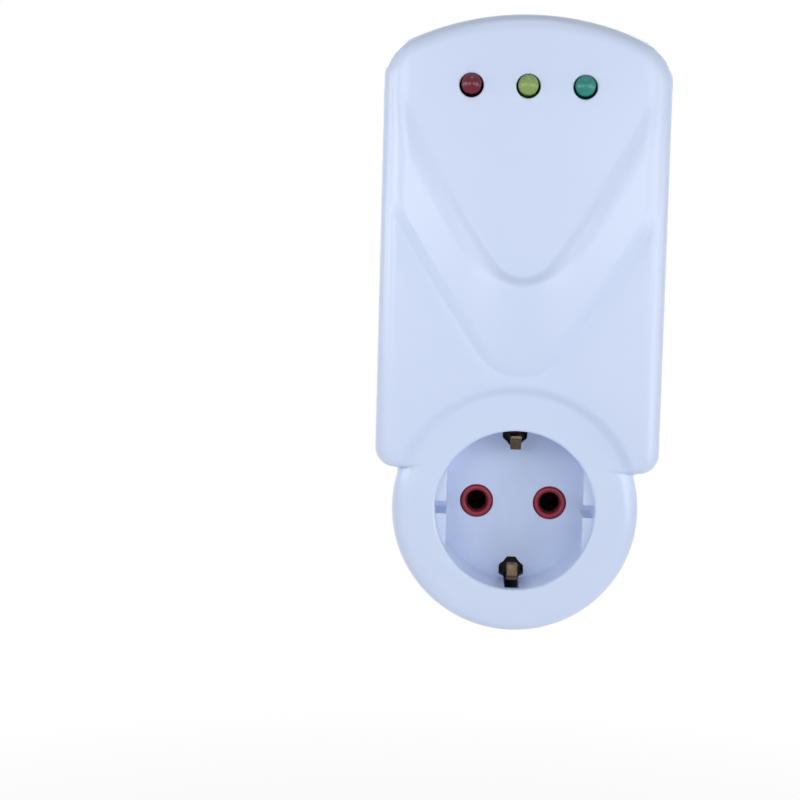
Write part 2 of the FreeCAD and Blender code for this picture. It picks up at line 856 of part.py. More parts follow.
def plug_earth_strip():
    """Upper earth strip of the plug: along its channel, through the back wall and inwards to the bridge."""
    outer = plug_radius - strip_sink
    inner = outer - earth_thickness
    inside = rear_inside_y
    outline = [
        (-strip_end_gap, inner), (-strip_end_gap, outer), (inside - earth_thickness, outer),
        (inside - earth_thickness, strip_inner_reach), (inside, strip_inner_reach), (inside, inner),
    ]
    return profile_prism(outline, -strip_width / 2, strip_width / 2)


def lamp(x):
    """Signal lamp: lens with a domed tip, worked as even rings of flats, and a flange at its back."""
    tip = panel_y - lamp_proud
    base = tip + lamp_length
    along = vec(0, 1, 0)
    rings = []
    for i in range(dome_rings + 1):
        turn = math.pi / 2 * (i + dome_start) / (dome_rings + dome_start)
        level = tip + lamp_radius * dome_flatness * (1 - math.cos(turn))
        rings.append(flat_ring(vec(x, level, lamp_z), along, lamp_radius * math.sin(turn), ring_sides))
    rings.append(flat_ring(vec(x, base, lamp_z), along, lamp_radius, ring_sides))
    flange = flat_rod(x, lamp_z, base - lamp_flange, base, lamp_flange_radius)
    return solid_of_rings(rings).fuse(flange)


def lamp_leads():
    """Six square lamp leads between the lamps and the circuit board."""
    base = panel_y - lamp_proud + lamp_length
    leads = []
    for column in (-1, 0, 1):
        for side in (-1, 1):
            x = column * lamp_pitch + side * lead_pitch / 2
            leads.append(centred_block(x, lamp_z, lead_width, lead_width, base, board_y))
    return Part.makeCompound(leads)


def circuit_board():
    """Circuit board with cut top corners and four screw holes."""
    half = board_half_width
    cut = board_corner
    outline = [
        (-half, board_low), (half, board_low), (half, board_high - cut), (half - cut, board_high),
        (-half + cut, board_high), (-half, board_high - cut),
    ]
    board = polygon_prism(outline, board_y, board_back_y)
    for x, z in post_places():
        board = board.cut(flat_rod(x, z, board_y - overrun, board_back_y + overrun,
                                   post_screw_radius + screw_clearance))
    return board


def relay_level(height):
    """Depth of a point of the relay that stands a given height off the board."""
    return board_y - height


def relay_block(x0, x1, low, high, z0, z1):
    """Block inside the relay: across, height off the board, and up, all from the relay's centre."""
    return block(relay_x + x0, relay_x + x1, relay_level(high), relay_level(low), relay_z + z0, relay_z + z1)


def relay_rod(low, high, radius, up=0.0):
    """Round piece inside the relay that stands off the board, worked with flats."""
    return flat_rod(relay_x, relay_z + up, relay_level(high), relay_level(low), radius)


def relay_heights():
    """Heights off the board of the relay's stack: coil bottom, coil top, pole top, armature's underside."""
    coil_low = relay_base_height + yoke_thickness
    coil_high = coil_low + coil_length + 2 * flange_thickness
    pole_top = coil_high + pole_thickness
    underside = pole_top + pole_gap
    return coil_low, coil_high, pole_top, underside


def relay_base():
    """Plate that closes the relay at the board."""
    half_x = relay_width / 2 - relay_wall
    half_z = relay_length / 2 - relay_wall
    return relay_block(-half_x, half_x, 0, relay_base_height, -half_z, half_z)


def relay_case():
    """Relay cover: a box open towards the board."""
    half_x = relay_width / 2
    half_z = relay_length / 2
    shell = relay_block(-half_x, half_x, 0, relay_height, -half_z, half_z)
    hollow = relay_block(-half_x + relay_wall, half_x - relay_wall, -overrun, relay_height - relay_wall,
                         -half_z + relay_wall, half_z - relay_wall)
    return shell.cut(hollow)


def relay_bobbin():
    """Coil former: two flanges on a thin tube."""
    coil_low, coil_high, _, _ = relay_heights()
    lower = relay_rod(coil_low, coil_low + flange_thickness, flange_radius)
    upper = relay_rod(coil_high - flange_thickness, coil_high, flange_radius)
    tube = relay_rod(coil_low, coil_high, core_radius + flange_thickness)
    return joined([lower, upper, tube]).cut(relay_rod(coil_low - overrun, coil_high + overrun, core_radius))


def relay_coil():
    """Copper winding between the flanges of the bobbin."""
    coil_low, coil_high, _, _ = relay_heights()
    low = coil_low + flange_thickness
    high = coil_high - flange_thickness
    return relay_rod(low, high, coil_radius).cut(relay_rod(low - overrun, high + overrun,
                                                           core_radius + flange_thickness))


def relay_core():
    """Iron core with a wider pole face on top."""
    coil_low, coil_high, pole_top, _ = relay_heights()
    return joined([relay_rod(coil_low, coil_high, core_radius), relay_rod(coil_high, pole_top, pole_radius)])


def relay_yoke():
    """L-shaped iron yoke: a leg under the coil and an upright whose top edge carries the armature."""
    _, _, _, underside = relay_heights()
    half = yoke_width / 2
    leg_top = relay_base_height + yoke_thickness
    leg = relay_block(-half, half, relay_base_height, leg_top, -yoke_back, coil_radius)
    upright = relay_block(-half, half, relay_base_height, underside - armature_gap, -yoke_back,
                          -yoke_back + yoke_thickness)
    return joined([leg, upright])


def relay_armature():
    """Iron armature plate that tips on the yoke's top edge."""
    _, _, _, underside = relay_heights()
    half = yoke_width / 2
    return relay_block(-half, half, underside, underside + armature_thickness, -yoke_back, armature_reach)


def moving_contact():
    """Springy leaf on the armature with the moving contact at its end."""
    _, _, _, underside = relay_heights()
    top = underside + armature_thickness
    leaf = relay_block(-leaf_width / 2, leaf_width / 2, top, top + leaf_thickness, -yoke_back / 2,
                       contact_reach + rivet_radius)
    rivet = relay_rod(top - rivet_height, top + leaf_thickness + rivet_height, rivet_radius, contact_reach)
    return joined([leaf, rivet])


def fixed_contact(upper):
    """Fixed contact on its bar: the closed one above the moving contact, or the open one below it."""
    _, _, _, underside = relay_heights()
    top = underside + armature_thickness
    if upper:
        face = top + leaf_thickness + rivet_height + rivet_gap
        arm_low = face + rivet_height / 2
        side = 1
    else:
        face = top - rivet_height - contact_travel - rivet_gap / 2
        arm_low = face - rivet_height / 2 - bar_thickness
        side = -1
    rivet = relay_rod(min(face, arm_low), max(face, arm_low + bar_thickness), rivet_radius, contact_reach)
    reach = yoke_width / 2
    inner_x = min(0, side * reach)
    outer_x = max(0, side * reach)
    arm = relay_block(inner_x - rivet_radius / 2, outer_x + rivet_radius / 2, arm_low,
                      arm_low + bar_thickness, contact_reach - rivet_radius, bar_outset + bar_thickness)
    post_a = side * reach - side * rivet_radius / 2
    post_b = side * reach + side * rivet_radius / 2
    post = relay_block(min(post_a, post_b), max(post_a, post_b), relay_base_height, arm_low + bar_thickness,
                       bar_outset, bar_outset + bar_thickness)
    return joined([rivet, arm, post])


def relay_pins():
    """Five relay pins that stand out of the back of the board."""
    half = relay_pin_width / 2
    low = board_back_y
    high = board_back_y + relay_pin_length - board_thickness
    pins = []
    for x, z in relay_pin_places:
        px = relay_x + x
        pz = relay_z + z
        pins.append(block(px - half, px + half, low, high, pz - half / 2, pz + half / 2))
    return Part.makeCompound(pins)


def film_capacitor():
    """Box-shaped film capacitor."""
    x, z = film_capacitor_place
    width, height, depth = film_capacitor_size
    return centred_block(x, z, width, height, board_y - depth, board_y)


def can_capacitor(place, size):
    """Round capacitor can."""
    x, z = place
    radius, height = size
    return flat_rod(x, z, board_y - height, board_y, radius, round_sides)


def varistor():
    """Flat round surge absorber that stands on edge on two leads."""
    x, z = varistor_place
    centre_y = board_y - varistor_stand - varistor_radius
    disc = flat_bar(vec(x, centre_y, z - varistor_thickness / 2), vec(0, 0, varistor_thickness),
                    varistor_radius, round_sides)
    low = board_y - varistor_stand - varistor_radius / 2
    leads = [centred_block(x + side * varistor_radius / 2, z, lead_width, lead_width, low, board_y)
             for side in (-1, 1)]
    return joined([disc] + leads)


def fuse_axis_rod(x0, x1, radius):
    """Round piece along the fuse's axis."""
    _, z = fuse_place
    return flat_bar(vec(x0, board_y - fuse_height, z), vec(x1 - x0, 0, 0), radius, small_sides)


def fuse_tube():
    """Glass tube of the fuse."""
    x, _ = fuse_place
    start = x - fuse_length / 2 + fuse_cap_wall
    end = x + fuse_length / 2 - fuse_cap_wall
    return fuse_axis_rod(start, end, fuse_radius - fuse_cap_wall)


def fuse_caps():
    """Two metal end caps of the fuse."""
    x, _ = fuse_place
    caps = []
    for side in (-1, 1):
        outer_x = x + side * fuse_length / 2
        inner_x = outer_x - side * fuse_cap_length
        solid = fuse_axis_rod(min(outer_x, inner_x), max(outer_x, inner_x), fuse_radius)
        caps.append(solid.cut(fuse_tube()))
    return Part.makeCompound(caps)


def fuse_holders():
    """Two spring holders that grip the fuse's caps."""
    x, z = fuse_place
    holders = []
    for side in (-1, 1):
        centre_x = x + side * (fuse_length - fuse_cap_length) / 2
        outer_r = fuse_radius + holder_wall
        cradle = fuse_axis_rod(centre_x - holder_length / 2, centre_x + holder_length / 2, outer_r)
        foot = centred_block(centre_x, z, holder_length, holder_foot_width,
                             board_y - fuse_height + fuse_radius / 2, board_y)
        mouth = centred_block(centre_x, z, fuse_cap_length, holder_mouth_width,
                              board_y - fuse_height - 2 * outer_r, board_y - fuse_height)
        solid = joined([cradle, foot]).cut(mouth)
        holders.append(solid.cut(fuse_axis_rod(centre_x - fuse_length, centre_x + fuse_length, fuse_radius)))
    return Part.makeCompound(holders)


def control_chip():
    """Control chip body."""
    x, z = chip_place
    length, width, height = chip_size
    return centred_block(x, z, length, width, board_y - chip_stand - height, board_y - chip_stand)


def chip_pins():
    """Chip pins in two rows along the chip's sides."""
    x, z = chip_place
    _, width, height = chip_size
    pins = []
    for column in range(chip_pin_columns):
        px = x + (column - (chip_pin_columns - 1) / 2) * chip_pin_pitch
        for side in (-1, 1):
            pz = z + side * (width / 2 + lead_width / 2)
            pins.append(centred_block(px, pz, 2 * lead_width, lead_width, board_y - chip_stand - height / 2,
                                      board_y))
    return Part.makeCompound(pins)


def axial_part(x, z, length, radius):
    """Small round component lying on the board along Z, with its two leads bent down to the board."""
    centre_y = board_y - radius
    body = flat_bar(vec(x, centre_y, z - length / 2), vec(0, 0, length), radius, small_sides)
    r = axial_lead_radius
    outer = length / 2 + radius + r
    inner = outer - 2 * r
    staple = [
        (board_y, z - outer), (centre_y - r, z - outer), (centre_y - r, z + outer), (board_y, z + outer),
        (board_y, z + inner), (centre_y + r, z + inner), (centre_y + r, z - inner), (board_y, z - inner),
    ]
    return joined([body, profile_prism(staple, x - r, x + r)])


def resistors():
    """Row of resistors."""
    return Part.makeCompound([
        axial_part(resistor_first_x + i * resistor_pitch, resistor_row_z, resistor_length, resistor_radius)
        for i in range(resistor_count)])


def diodes():
    """Row of rectifier diodes."""
    return Part.makeCompound([
        axial_part(diode_first_x + i * diode_pitch, diode_row_z, diode_length, diode_radius)
        for i in range(diode_count)])


def relay_driver():
    """Small transistor that switches the relay: a D-shaped body on three leads."""
    x, z = driver_place
    body = flat_rod(x, z, board_y - driver_stand - driver_height, board_y - driver_stand, driver_radius)
    body = body.cut(block(x - far, x + far, -far - driver_height, far, z + driver_radius / 2, z + far))
    top = board_y - driver_stand - overrun / 2
    leads = [centred_block(x + i * lead_pitch / 2, z, lead_width, lead_width, top, board_y)
             for i in (-1, 0, 1)]
    return joined([body] + leads)


def board_terminals():
    """Blade terminals on the back of the board for the inner wires."""
    return Part.makeCompound([
        centred_block(x, tab_row_z, tab_width, tab_thickness, board_back_y, board_back_y + tab_height)
        for x in tab_places])


def feed_strip(side):
    """Stamped strip from a plug pin's tail, over the carrier and up to a terminal on the board."""
    tail_y = -insert_depth - pin_collar_depth - pin_tail / 2
    over_z = carrier_half_height + strip_clearance + feed_strip_thickness / 2
    tab_y = board_back_y + tab_height / 2
    points = [
        (tail_y, pin_radius), (tail_y, over_z), (throat_y, over_z),
        (tab_y, tab_row_z - tab_height), (tab_y, tab_row_z - tab_thickness / 2),
    ]
    centre = side * pin_x
    half = feed_strip_width / 2
    return profile_prism(strip_band(points, feed_strip_thickness), centre - half, centre + half)


def live_output_strip():
    """Stamped strip from the back of the live socket contact to the switched terminal on the board."""
    end = floor_back_y + contact_length
    x = tab_places[1]
    half = feed_strip_width / 2
    tab_y = board_back_y + tab_height / 2
    thickness = feed_strip_thickness
    outline = [
        (-pin_x - half, -half), (-pin_x + half, -half), (x + half, throat_z - half), (x + half, throat_z),
        (x - half, throat_z), (x - half, throat_z - half), (-pin_x - half, half),
    ]
    plate = polygon_prism(outline, end, end + thickness)
    points = [
        (end + thickness, throat_z - thickness / 2), (throat_y, throat_z - thickness / 2),
        (tab_y, tab_row_z - tab_height), (tab_y, tab_row_z - tab_thickness / 2),
    ]
    return joined([plate, profile_prism(strip_band(points, thickness), x - half, x + half)])


def neutral_link():
    """Short bar that joins the neutral plug pin to the neutral socket contact."""
    return flat_rod(pin_x, 0, floor_back_y + contact_length, -insert_depth - pin_collar_depth - pin_tail,
                    link_radius)


pieces = {
    "front_cover": front_cover,
    "rear_cover": rear_cover,
    "housing_screws": housing_screws,
    "left_socket_sleeve": lambda: socket_sleeve(-pin_x),
    "right_socket_sleeve": lambda: socket_sleeve(pin_x),
    "live_contact": lambda: socket_contact(-pin_x),
    "neutral_contact": lambda: socket_contact(pin_x),
    "contact_carrier": contact_carrier,
    "carrier_screws": carrier_screws,
    "earth_bridge": earth_bridge,
    "upper_earth_clip": earth_clip,
    "lower_earth_clip": lambda: mirrored_z(earth_clip()),
    "plug_insert": plug_insert,
    "live_pin": lambda: plug_pin(-pin_x),
    "neutral_pin": lambda: plug_pin(pin_x),
    "upper_plug_earth_strip": plug_earth_strip,
    "lower_plug_earth_strip": lambda: mirrored_z(plug_earth_strip()),
    "red_lamp": lambda: lamp(-lamp_pitch),
    "yellow_lamp": lambda: lamp(0),
    "green_lamp": lambda: lamp(lamp_pitch),
    "lamp_leads": lamp_leads,
    "circuit_board": circuit_board,
    "board_screws": board_screws,
    "relay_base": relay_base,
    "relay_case": relay_case,
    "relay_bobbin": relay_bobbin,
    "relay_coil": relay_coil,
    "relay_core": relay_core,
    "relay_yoke": relay_yoke,
    "relay_armature": relay_armature,
    "relay_moving_contact": moving_contact,
    "relay_closed_contact": lambda: fixed_contact(True),
    "relay_open_contact": lambda: fixed_contact(False),
    "relay_pins": relay_pins,
    "relay_driver": relay_driver,
    "film_capacitor": film_capacitor,
    "large_capacitor": lambda: can_capacitor(large_capacitor_place, large_capacitor_size),
    "small_capacitor": lambda: can_capacitor(small_capacitor_place, small_capacitor_size),
    "varistor": varistor,
    "fuse_tube": fuse_tube,
    "fuse_caps": fuse_caps,
    "fuse_holders": fuse_holders,
    "control_chip": control_chip,
    "chip_pins": chip_pins,
    "resistors": resistors,
    "diodes": diodes,
    "board_terminals": board_terminals,
    "live_feed_strip": lambda: feed_strip(-1),
    "live_output_strip": live_output_strip,
    "neutral_feed_strip": lambda: feed_strip(1),
    "neutral_link": neutral_link,
}

os.makedirs("parts", exist_ok=True)
for name, make in pieces.items():
    shape = make()
    shape.exportStep("parts/" + name + ".step")
    print(name, len(shape.Solids), round(shape.Volume, 1), shape.isValid())
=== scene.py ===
import logging
import math
from dataclasses import dataclass
from enum import Enum

import bmesh
import bpy
import numpy as np
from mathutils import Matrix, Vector
from mathutils.geometry import delaunay_2d_cdt


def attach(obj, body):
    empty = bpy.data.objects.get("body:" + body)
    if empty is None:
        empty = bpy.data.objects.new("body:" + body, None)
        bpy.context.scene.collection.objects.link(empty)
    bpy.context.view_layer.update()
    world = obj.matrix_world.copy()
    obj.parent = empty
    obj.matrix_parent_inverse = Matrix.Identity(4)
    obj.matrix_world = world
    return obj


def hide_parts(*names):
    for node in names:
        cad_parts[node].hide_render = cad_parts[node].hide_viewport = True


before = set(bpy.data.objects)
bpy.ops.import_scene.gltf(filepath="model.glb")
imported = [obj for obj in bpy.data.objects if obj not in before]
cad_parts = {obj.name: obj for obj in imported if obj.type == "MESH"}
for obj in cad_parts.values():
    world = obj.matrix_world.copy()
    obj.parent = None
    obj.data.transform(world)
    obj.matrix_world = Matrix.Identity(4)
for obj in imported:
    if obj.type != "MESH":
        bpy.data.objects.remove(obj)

# Looks of a plug-in voltage protector: a white moulded housing with two nested chevrons, three signal
# lamps and a recessed earthed round socket, and an earthed round plug on its back.
# Shapes are worked out in millimetres and stored in metres. X runs to the right as seen from the front,
# Y from the front towards the wall, Z up. A loop or an outline is n by 2 places across (X) and up (Z).

Points = np.ndarray
Place = tuple[float, float]
Triple = tuple[float, float, float]
MM = 0.001
# Points closer than this many millimetres become one, and edges that bend more than this are sharp.
MERGE = 0.002
SHARP_DEGREES = 38.0
# Points round screws and small holes, round pins and lenses, and round the plug.
SMALL_ROUND, ROUND, WIDE_ROUND = 40, 56, 96
log = logging.getLogger("voltage_protector")

# Sizes that more than one piece takes: where the covers meet, the lip's steps inwards and back there,
# the covers' wall, the pins' and the lamps' places, and the four screws.
SPLIT = -32.5
LIP = ((0, 0.22), (0.04, 0.1), (0.12, 0.03), (0.25, 0))
SKIN_WALL = 0.8
PIN_X = 9.5
LAMP_PITCH = 13.85
LAMP_Z = 104.7
SCREWS = [(side * 27.5, z) for side in (-1, 1) for z in (104.0, 20.5)]
UP_AND_DOWN = ((1, "upper"), (-1, "lower"))


class Body(Enum):
    """CAD bodies that the pieces made here ride on."""

    HOUSING = "housing"
    UPPER_CLIP = "upper_earth_clip"
    LOWER_CLIP = "lower_earth_clip"


# Flat shapes


def arc_points(radius: float, start: float, end: float, count: int, centre: Place = (0, 0)) -> Points:
    """Points along an arc: centre plus radius times (cos, sin) of evenly spaced turns.

    Args:
        radius: radius of the arc.
        start: first turn in degrees.
        end: last turn in degrees.
        count: number of points.
        centre: place across and up.

    Returns:
        count by 2 places.
    """
    turn = np.radians(np.linspace(start, end, count))
    return np.stack([centre[0] + radius * np.cos(turn), centre[1] + radius * np.sin(turn)], -1)


def circle(radius: float, count: int, centre: Place = (0, 0)) -> Points:
    """Closed circle of evenly spaced points."""
    return arc_points(radius, 0, 360, count + 1, centre)[:-1]


def on_circle(radius: float, degrees: float) -> Points:
    """The one place on a circle round the origin at a turn, as a 1 by 2 array."""
    return arc_points(radius, degrees, degrees, 1)


def rounding(count: int, start: float = 0) -> Points:
    """Steps round an edge: 1 less the sine and 1 less the cosine of turns up to 90 degrees."""
    return 1 - arc_points(1, start, 90, count)[:, ::-1]


def eased_corners(corners: Points, radius: float, steps: int, closed: bool = False) -> Points:
    """Line with its corners eased: each corner P becomes the curve (1-s)^2 A + 2s(1-s) P + s^2 B.

    A and B lie on the two sides, radius times the tangent of half the turn away from P.

    Args:
        corners: n by 2 places.
        radius: radius of the easing.
        steps: points per corner.
        closed: whether the last place joins the first.

    Returns:
        Places of the eased line.
    """
    corners = np.asarray(corners, float)
    before = np.roll(corners, 1, 0) - corners
    after = np.roll(corners, -1, 0) - corners
    size_b = np.linalg.norm(before, axis=1, keepdims=True) + 1e-9
    size_a = np.linalg.norm(after, axis=1, keepdims=True) + 1e-9
    cosine = np.clip(np.sum(before * after, 1, keepdims=True) / size_a / size_b, -1, 1)
    reach = radius / np.tan(np.maximum(np.arccos(cosine), 0.05) / 2)
    reach = np.minimum(reach, 0.45 * np.minimum(size_a, size_b))
    share = np.linspace(0, 1, steps)[None, :, None]
    low = (corners + before / size_b * reach)[:, None]
    high = (corners + after / size_a * reach)[:, None]
    curve = (1 - share) ** 2 * low + 2 * share * (1 - share) * corners[:, None] + share ** 2 * high
    if closed:
        return curve.reshape(-1, 2)
    return np.concatenate([corners[:1], curve[1:-1].reshape(-1, 2), corners[-1:]])


def four_ways(quarter: Points) -> Points:
    """Closed outline from its first quarter, which runs from the X axis to the Z axis.

    Args:
        quarter: places with both ends on the axes.

    Returns:
        The quarter and its three mirror images, in one turn.
    """
    half = np.concatenate([quarter, quarter[::-1][1:] * (-1, 1)])
    return np.concatenate([half, half[::-1][1:-1] * (1, -1)])


def in_outline(places: Points, outline: Points) -> Points:
    """Whether places lie inside an outline, by counting the sides that a line to the left crosses.

    Args:
        places: n by 2 places.
        outline: m by 2 corners.

    Returns:
        n truth values.
    """
    x, z = places[:, 0, None], places[:, 1, None]
    a, b = outline, np.roll(outline, -1, 0)
    run = (b[:, 0] - a[:, 0]) * (z - a[:, 1]) / (b[:, 1] - a[:, 1] + 1e-12) + a[:, 0]
    return np.sum(((a[:, 1] > z) != (b[:, 1] > z)) & (x < run), 1) % 2 == 1


def soft_step(value: Points) -> Points:
    """Smooth rise from 0 to 1: half of one less the cosine."""
    return (1 - np.cos(math.pi * np.clip(value, 0, 1))) / 2


def edge_drop(distance: Points, radius: float) -> Points:
    """Drop of a rounded edge: radius less the root of radius squared less (radius - distance) squared.

    Args:
        distance: distance inside the edge.
        radius: radius of the rounding.

    Returns:
        Drop; beyond the edge it goes on steeply.
    """
    steep = 6
    lack = np.clip(radius - distance, 0, radius)
    return radius - np.sqrt(radius ** 2 - lack ** 2) + steep * np.maximum(-distance, 0)


class Skin:
    """Gathers grids and flat fills, in millimetres, and turns them into one mesh."""

    def __init__(self) -> None:
        """Starts with no points and no faces."""
        self.points: list[Points] = []
        self.faces: list[list[int]] = []
        self.count = 0

    def add(self, points: Points, faces: Points) -> None:
        """Adds points and the faces between them.

        Args:
            points: n by 3 places.
            faces: m by 3 or 4 numbers of those points.
        """
        self.points.append(points)
        self.faces.extend((faces + self.count).tolist())
        self.count += len(points)

    def grid(self, points: Points) -> None:
        """Adds a surface given as rows of points, each closed in itself; four neighbours make a face.

        Args:
            points: rows by columns by 3 places.
        """
        rows, columns = points.shape[:2]
        i = np.arange(rows - 1)[:, None] * columns
        j = np.arange(columns)[None, :]
        k = (j + 1) % columns
        quads = np.stack([i + j, i + k, i + columns + k, i + columns + j], -1).reshape(-1, 4)
        self.add(points.reshape(-1, 3), quads)

    def layers(self, loops: list[tuple[Points, float]]) -> None:
        """Adds a wall through loops, each given with its depth along Y."""
        self.grid(np.stack([np.insert(loop, 1, depth, 1) for loop, depth in loops]))

    def fill(self, loops: list[Points], depth: float) -> None:
        """Adds a flat face with holes at one depth, as triangles between its loops.

        Args:
            loops: outer loop first, then the holes, each n by 2 places.
            depth: depth along Y.
        """
        edges = []
        start = 0
        for loop in loops:
            index = np.arange(len(loop))
            edges += np.stack([start + index, start + np.roll(index, -1)], -1).tolist()
            start += len(loop)
        flat = [Vector(p) for p in np.concatenate(loops).tolist()]
        places, _, faces, _, _, _ = delaunay_2d_cdt(flat, edges, [], 1, 1e-6)
        places = np.array([tuple(p) for p in places])
        faces = np.array([f for f in faces if len(f) == 3])
        middle = places[faces].mean(1)
        keep = in_outline(middle, loops[0])
        for hole in loops[1:]:
            keep &= ~in_outline(middle, hole)
        self.add(np.insert(places, 1, depth, 1), faces[keep])

    def turn(self, profile: Points, segments: int, centre: Place = (0, 0)) -> None:
        """Adds a turned surface: radius r and depth y become x + r cos t, y, z + r sin t.

        Args:
            profile: n by 2 radii and depths.
            segments: points round a turn.
            centre: place of the axis across and up.
        """
        t = np.linspace(0, 2 * math.pi, segments, endpoint=False)[None, :]
        r, y = profile[:, 0, None], profile[:, 1, None]
        self.grid(np.stack([centre[0] + r * np.cos(t), y + 0 * t, centre[1] + r * np.sin(t)], -1))

    def mesh(self, name: str) -> bpy.types.Mesh:
        """Makes the mesh: points that meet are merged and the faces turned outwards.

        Args:
            name: name of the mesh.

        Returns:
            The mesh, in metres.
        """
        made = bpy.data.meshes.new(name)
        made.from_pydata((np.concatenate(self.points) * MM).tolist(), [], self.faces)
        bm = bmesh.new()
        bm.from_mesh(made)
        bmesh.ops.remove_doubles(bm, verts=bm.verts, dist=MERGE * MM)
        bmesh.ops.recalc_face_normals(bm, faces=bm.faces)
        bm.to_mesh(made)
        bm.free()
        return made


# Finishes


def linear(code: str) -> tuple[float, float, float, float]:
    """Linear colour from an sRGB hex code.

    Args:
        code: six hex digits after a hash sign.

    Returns:
        Red, green, blue and full opacity.
    """
    parts = [int(code[i:i + 2], 16) / 255 for i in (1, 3, 5)]
    red, green, blue = [p / 12.92 if p <= 0.04045 else ((p + 0.055) / 1.055) ** 2.4 for p in parts]
    return red, green, blue, 1.0


def add_node(tree: bpy.types.NodeTree, kind: str, settings: dict, links: dict, **options) -> bpy.types.Node:
    """Adds one shader node.

    Args:
        tree: material's node tree.
        kind: node type.
        settings: input name to value.
        links: input name to the output that feeds it.
        options: the node's own options, such as its operation.

    Returns:
        The node.
    """
    made = tree.nodes.new(kind)
    for key, value in options.items():
        setattr(made, key, value)
    for key, value in settings.items():
        made.inputs[key].default_value = value
    for key, source in links.items():
        tree.links.new(source, made.inputs[key])
    return made


@dataclass(frozen=True)
class Finish:
    """A surface: two near colours that drift into each other, its gloss, and a fine grain."""

    name: str
    colour: str
    drift: str
    drift_mm: float
    roughness: float
    roughness_spread: float
    grain_mm: float
    grain_height: float
    metallic: float = 0.0
    ior: float = 1.5
    transmission: float = 0.0
    stretch: Triple = (1.0, 1.0, 1.0)
    specular: float = 0.5

    def material(self) -> bpy.types.Material:
        """Makes the material: noise mixes the colours and moves the roughness, finer noise is the grain.

        Returns:
            The material.
        """
        made = bpy.data.materials.new(self.name)
        made.use_nodes = True
        tree = made.node_tree
        shader = tree.nodes["Principled BSDF"]
        place = add_node(tree, "ShaderNodeTexCoord", {}, {})
        aimed = add_node(tree, "ShaderNodeMapping", {"Scale": self.stretch},
                         {"Vector": place.outputs["Object"]})
        wide, fine = [
            add_node(tree, "ShaderNodeTexNoise", {"Scale": 1000 / size, "Detail": detail},
                     {"Vector": aimed.outputs["Vector"]}).outputs["Fac"]
            for size, detail in ((self.drift_mm, 3.0), (self.grain_mm, 4.0))]
        mixed = add_node(tree, "ShaderNodeMix", {6: linear(self.colour), 7: linear(self.drift)},
                         {0: wide}, data_type="RGBA")
        spread = add_node(tree, "ShaderNodeMapRange",
                          {"To Min": self.roughness - self.roughness_spread,
                           "To Max": self.roughness + self.roughness_spread}, {"Value": wide})
        bump = add_node(tree, "ShaderNodeBump", {"Strength": 1.0, "Distance": self.grain_height * MM},
                        {"Height": fine})
        tree.links.new(mixed.outputs[2], shader.inputs["Base Color"])
        tree.links.new(spread.outputs["Result"], shader.inputs["Roughness"])
        tree.links.new(bump.outputs["Normal"], shader.inputs["Normal"])
        if self.metallic < 0.5:
            shader.inputs["IOR"].default_value = self.ior
        shader.inputs["Metallic"].default_value = self.metallic
        shader.inputs["Transmission Weight"].default_value = self.transmission
        shader.inputs["Specular IOR Level"].default_value = self.specular
        return made


# White ABS, injection moulded and polished: a cool even white with soft broad highlights.
WHITE_ABS = Finish("moulded_white_abs", "#D3E0F9", "#CEDBF6", 26.0, 0.28, 0.004, 0.9, 0.003)
# White polyamide, moulded without polish: chalkier and a little warmer.
WHITE_NYLON = Finish("moulded_white_nylon", "#E0E1E0", "#D8D9D7", 12.0, 0.55, 0.05, 0.6, 0.008)
# Red polypropylene sleeve: dull deep red.
RED_SLEEVE = Finish("moulded_red_polypropylene", "#992A3C", "#872034", 3.0, 0.42, 0.06, 0.5, 0.006,
                    specular=0.4)
# Tinted epoxy of a lamp, cast: clear, glossy, strongly coloured.
RED_EPOXY = Finish("cast_red_epoxy", "#6E0E2C", "#5C0A24", 1.6, 0.2, 0.03, 0.8, 0.002, specular=0.35)
YELLOW_EPOXY = Finish("cast_yellow_epoxy", "#8EA75C", "#7C9656", 1.6, 0.2, 0.03, 0.8, 0.002, specular=0.35)
GREEN_EPOXY = Finish("cast_green_epoxy", "#2C8C84", "#20786E", 1.6, 0.2, 0.03, 0.8, 0.002, specular=0.35)
# Spring bronze, rolled and gone dull: grey-brown with dark patches.
DULL_BRONZE = Finish("dulled_rolled_bronze", "#85735C", "#4E4335", 1.6, 0.42, 0.1, 0.25, 0.006, metallic=1.0)
# Contact bronze deep inside, oxidised: nearly black brown.
DARK_BRONZE = Finish("oxidised_bronze", "#3C3230", "#2A2322", 2.0, 0.6, 0.08, 0.3, 0.006, metallic=1.0)
# Rolled brass, bare and handled: warm metal with a faint rolling grain.
BRASS = Finish("rolled_brass", "#C4A265", "#A98850", 5.0, 0.32, 0.08, 0.25, 0.004, metallic=1.0,
               stretch=(1.0, 0.2, 1.0))
# Steel with bright zinc plating: pale grey metal, slightly mottled.
ZINC_STEEL = Finish("zinc_plated_steel", "#B9BBBE", "#9FA2A8", 3.0, 0.34, 0.08, 0.3, 0.004, metallic=1.0)
# Turned brass with nickel plating: bright warm grey with turning marks.
NICKEL = Finish("nickel_plated_brass", "#CFCBC2", "#BDB8AE", 6.0, 0.2, 0.05, 0.2, 0.003, metallic=1.0,
                stretch=(1.0, 4.0, 1.0))
# Soft iron of a magnet: dark dull grey.
IRON = Finish("soft_iron", "#77797D", "#66686C", 2.0, 0.45, 0.08, 0.3, 0.006, metallic=1.0)
# Enamelled copper wire, wound: red-brown metal with fine turns.
COPPER = Finish("enamelled_copper_winding", "#B5683A", "#8F4A24", 1.2, 0.3, 0.08, 0.25, 0.04, metallic=1.0,
                stretch=(0.3, 3.0, 0.3))
# Glass epoxy board with green solder mask over a faint weave.
BOARD = Finish("green_masked_laminate", "#1F6B3C", "#175A31", 4.0, 0.3, 0.05, 0.5, 0.01)
